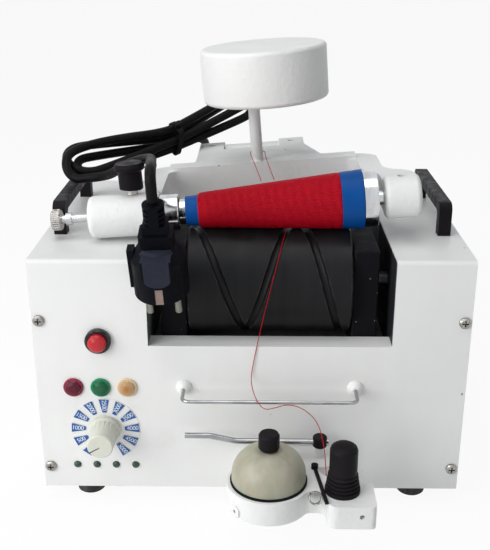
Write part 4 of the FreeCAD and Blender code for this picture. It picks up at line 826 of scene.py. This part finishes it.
hank_spots = [hank_spot(0.002, waist_half, 0)]
for layer, (left, right) in enumerate(zip(left_folds, right_folds)):
    hank_spots.append(hank_spot(-0.010, waist_half, layer))
    hank_spots += fold_spots(*left, 1, layer)
    hank_spots += [hank_spot(-0.010, -waist_half, layer), hank_spot(0.010, -waist_half, layer)]
    hank_spots += fold_spots(*right, -1, layer)
    hank_spots.append(hank_spot(0.010, waist_half, layer + 1))
last_turn = ((-0.010, 0.002, 2), (-0.050, 0.009, 2.0), (-0.080, 0.010, 2.05), (-0.0985, 0.006, 2.05),
             (-0.1055, -0.005, 1.5), (-0.102, -0.0135, 0.85))
hank_spots += [hank_spot(*spot) for spot in last_turn]
cord_points = lead_spots + hank_spots + drop_spots


def smooth_line(points, between=10):
    """Points along the smooth open curve that a row of control points gives."""
    curve = bpy.data.curves.new("line", "CURVE")
    curve.dimensions = "3D"
    line = curve.splines.new("NURBS")
    line.points.add(len(points) - 1)
    for spot, point in zip(points, line.points):
        point.co = (*spot, 1.0)
    line.order_u = 3
    line.use_endpoint_u = True
    line.resolution_u = between
    holder = bpy.data.objects.new("line", curve)
    drawn = bpy.data.meshes.new_from_object(holder)
    spots = [v.co.copy() for v in drawn.vertices]
    bpy.data.objects.remove(holder)
    return spots


def round_line(name, spots, radius, sides):
    """A closed round tube that follows the points."""
    ways = [(b - a).normalized() for a, b in zip(spots, spots[1:])]
    ways = [ways[0]] + [(a + b).normalized() for a, b in zip(ways, ways[1:])] + [ways[-1]]
    side = ways[0].orthogonal().normalized()
    points = []
    faces = []
    for i, (spot, way) in enumerate(zip(spots, ways)):
        side = (side - way * side.dot(way)).normalized()
        over = way.cross(side)
        for j in range(sides):
            turn = 2 * math.pi * j / sides
            points.append(spot + (side * math.cos(turn) + over * math.sin(turn)) * radius)
        if i:
            a, b = (i - 1) * sides, i * sides
            faces += [(a + j, a + (j + 1) % sides, b + (j + 1) % sides, b + j) for j in range(sides)]
    faces.append(list(range(sides))[::-1])
    faces.append([len(points) - sides + j for j in range(sides)])
    return new_mesh(name, points, faces)


cord_line = smooth_line(cord_points)
cord = round_line("mains_cord", cord_line, cord_radius, 20)
cord_black, tree, shader, where = blank_finish("cord_sheath", Roughness=0.55, Specular_IOR_Level=0.08)
soil = marks(tree, dirt, where, 120.0, 0.6)
skin = place(tree, "TexNoise", where, Scale=1800.0, Detail=3.0)
base = mixed(tree, soil[1], (0.0035, 0.003, 0.0035, 1), (0.009, 0.008, 0.009, 1))
coloured(tree, shader, base)
uneven(tree, shader, soil[1], 0.4, 0.62)
raised(tree, shader, skin.outputs[0], 0.00004)
cord.data.materials.append(cord_black)
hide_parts("cord_lead", "cord_hank", "cord_drop")
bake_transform(cord)


def tie_band():
    """Plastic tie round the bundle's waist: a rounded band with its lock on top."""
    axis = (right_way - left_way).normalized()
    wall, half_width, corner, slack = 0.0012, 0.0024, 0.003, 0.0005
    half_across = waist_half + cord_radius + slack
    half_up = layer_step + cord_radius + slack
    corner_steps = 6
    steps = 4 * corner_steps
    points = []
    faces = []
    for out, along in ((0, -half_width), (wall, -half_width), (wall, half_width), (0, half_width)):
        for step in range(steps):
            quarter, share = divmod(step, corner_steps)
            turn = 0.5 * math.pi * (quarter + share / (corner_steps - 1))
            side = 1 if quarter in (0, 3) else -1
            top = 1 if quarter < 2 else -1
            across = side * (half_across - corner) + (corner + out) * math.cos(turn)
            up = top * (half_up - corner) + (corner + out) * math.sin(turn)
            points.append(hank_middle + axis * along + hank_across * across + hank_up * up)
    for row in range(4):
        a, b = row * steps, (row + 1) % 4 * steps
        for step in range(steps):
            after = (step + 1) % steps
            faces.append((a + step, a + after, b + after, b + step))
    first = len(points)
    for along in (-0.003, 0.003):
        for across in (-0.0025, 0.0025):
            for up in (half_up + 0.0008, half_up + 0.0046):
                points.append(hank_middle + axis * along + hank_across * across + hank_up * up)
    for face in ((0, 1, 3, 2), (4, 6, 7, 5), (0, 4, 5, 1), (2, 3, 7, 6), (0, 2, 6, 4), (1, 5, 7, 3)):
        faces.append([first + i for i in face])
    band = new_mesh("cord_tie_band", points, faces, False)
    softened = band.modifiers.new("softened", "BEVEL")
    softened.width = 0.0004
    softened.segments = 2
    return band


tie = tie_band()
tie.data.materials.append(cord_black)
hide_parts("cord_tie")
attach(tie, "root")

# Plug
# A moulded black plug with two nickel pins and earth clips, and a smooth grey-blue grip
# panel on its face. Ribs on its tail keep the cord from kinking.

plug_top = Vector(drop_spots[-1])
plug_turn = Vector((0, 0, 1)).rotation_difference(Vector((-0.035, -0.25, 0.9676))).to_euler()
grip_face = -0.0183
grip_half = 0.0082
brow_face = -0.0084
brow_half = 0.0106
brow_up = -0.0303
brow_thick = 0.0014
clip_half = 0.004


def plug_axes(tree, where):
    """The point measured on the plug itself: across it, toward its back and up to its cord."""
    own = place(tree, "Mapping", where, plug_top, tuple(plug_turn), vector_type="TEXTURE")
    return place(tree, "SeparateXYZ", own.outputs[0]).outputs


def below_both(tree, first, first_limit, second, second_limit):
    """Is 1 where both measures are below their limits."""
    one = sums(tree, "LESS_THAN", first, first_limit)
    return sums(tree, "MULTIPLY", one, sums(tree, "LESS_THAN", second, second_limit))


plug_black = moulding("plug_black_moulding", (0.0016, 0.0018, 0.0035, 1), (0.005, 0.0055, 0.009, 1),
                      0.55, shine=0.06)
tree, shader, where, skin = reopened(plug_black)
across, back, up = plug_axes(tree, where)
across = sums(tree, "ABSOLUTE", across)
on_pad = below_both(tree, back, grip_face, across, grip_half)
on_brow = below_both(tree, back, brow_face, across, brow_half)
from_brow = sums(tree, "ABSOLUTE", sums(tree, "SUBTRACT", up, brow_up))
on_brow = sums(tree, "MULTIPLY", on_brow, sums(tree, "LESS_THAN", from_brow, brow_thick))
on_grip = sums(tree, "MAXIMUM", on_pad, on_brow)
cloud = place(tree, "TexNoise", where, Scale=220.0, Detail=4.0)
slate = mixed(tree, cloud.outputs[0], (0.017, 0.019, 0.031, 1), (0.030, 0.033, 0.048, 1))
coloured(tree, shader, mixed(tree, on_grip, skin, slate))
paint_node(plug_black, "plug_body")
plug_nickel = turned_steel("plug_nickel", tuple(plug_top), (0.30, 0.30, 0.26, 1),
                           (0.20, 0.20, 0.17, 1), rough=0.35)
tree, shader, where, skin = reopened(plug_nickel)
across = sums(tree, "ABSOLUTE", plug_axes(tree, where)[0])
on_clip = sums(tree, "LESS_THAN", across, clip_half)
tarnish = place(tree, "TexNoise", where, Scale=300.0, Detail=4.0)
copper = mixed(tree, tarnish.outputs[0], (0.22, 0.15, 0.13, 1), (0.34, 0.26, 0.24, 1))
coloured(tree, shader, mixed(tree, on_clip, skin, copper))
paint_node(plug_nickel, "plug_pins")

# Loose yarn
# The yarn's tail is looped round the weight's post, and the running end drops from the
# drum's groove over the lip of the bay, past the guide wire, to the tension cap.

yarn_half = 0.00028
loop_points = [(0.0064, -0.025, 0.2300), (0.0030, 0.012, 0.2302), (-0.0010, 0.046, 0.2312),
               (-0.0020, 0.0555, 0.2322), (0.0010, 0.0612, 0.2325), (0.0062, 0.0618, 0.2325),
               (0.0098, 0.0560, 0.2322), (0.0098, 0.046, 0.2312), (0.0125, 0.012, 0.2310),
               (0.0154, -0.024, 0.2308)]
tail_points = [(0.0255, -0.0280, 0.1988), (0.0222, -0.0448, 0.1951), (0.0186, -0.0585, 0.1847),
               (0.0144, -0.0665, 0.1702), (0.0088, -0.0702, 0.1480), (0.0042, -0.0738, 0.1268),
               (0.0016, -0.0741, 0.1130), (0.0000, -0.0745, 0.1020), (0.0010, -0.0850, 0.0992),
               (0.0040, -0.0970, 0.0966), (0.0090, -0.0978, 0.0900), (0.0165, -0.0990, 0.0922),
               (0.0244, -0.1000, 0.0958), (0.0350, -0.1008, 0.0935), (0.0450, -0.1015, 0.0840),
               (0.0488, -0.1120, 0.0740), (0.0498, -0.1220, 0.0640), (0.0501, -0.1255, 0.0570)]
for name, points, body, lay in (("post_yarn_loop", loop_points, "cradle", "loose"),
                                ("running_yarn", tail_points, "root", "hanging")):
    spots = smooth_line(points, 12)
    yarn = round_line(name, spots, yarn_half, 8)
    yarn.data.materials.append(yarn_red)
    if body == "cradle":
        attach(yarn, "cradle")
    else:
        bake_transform(yarn)
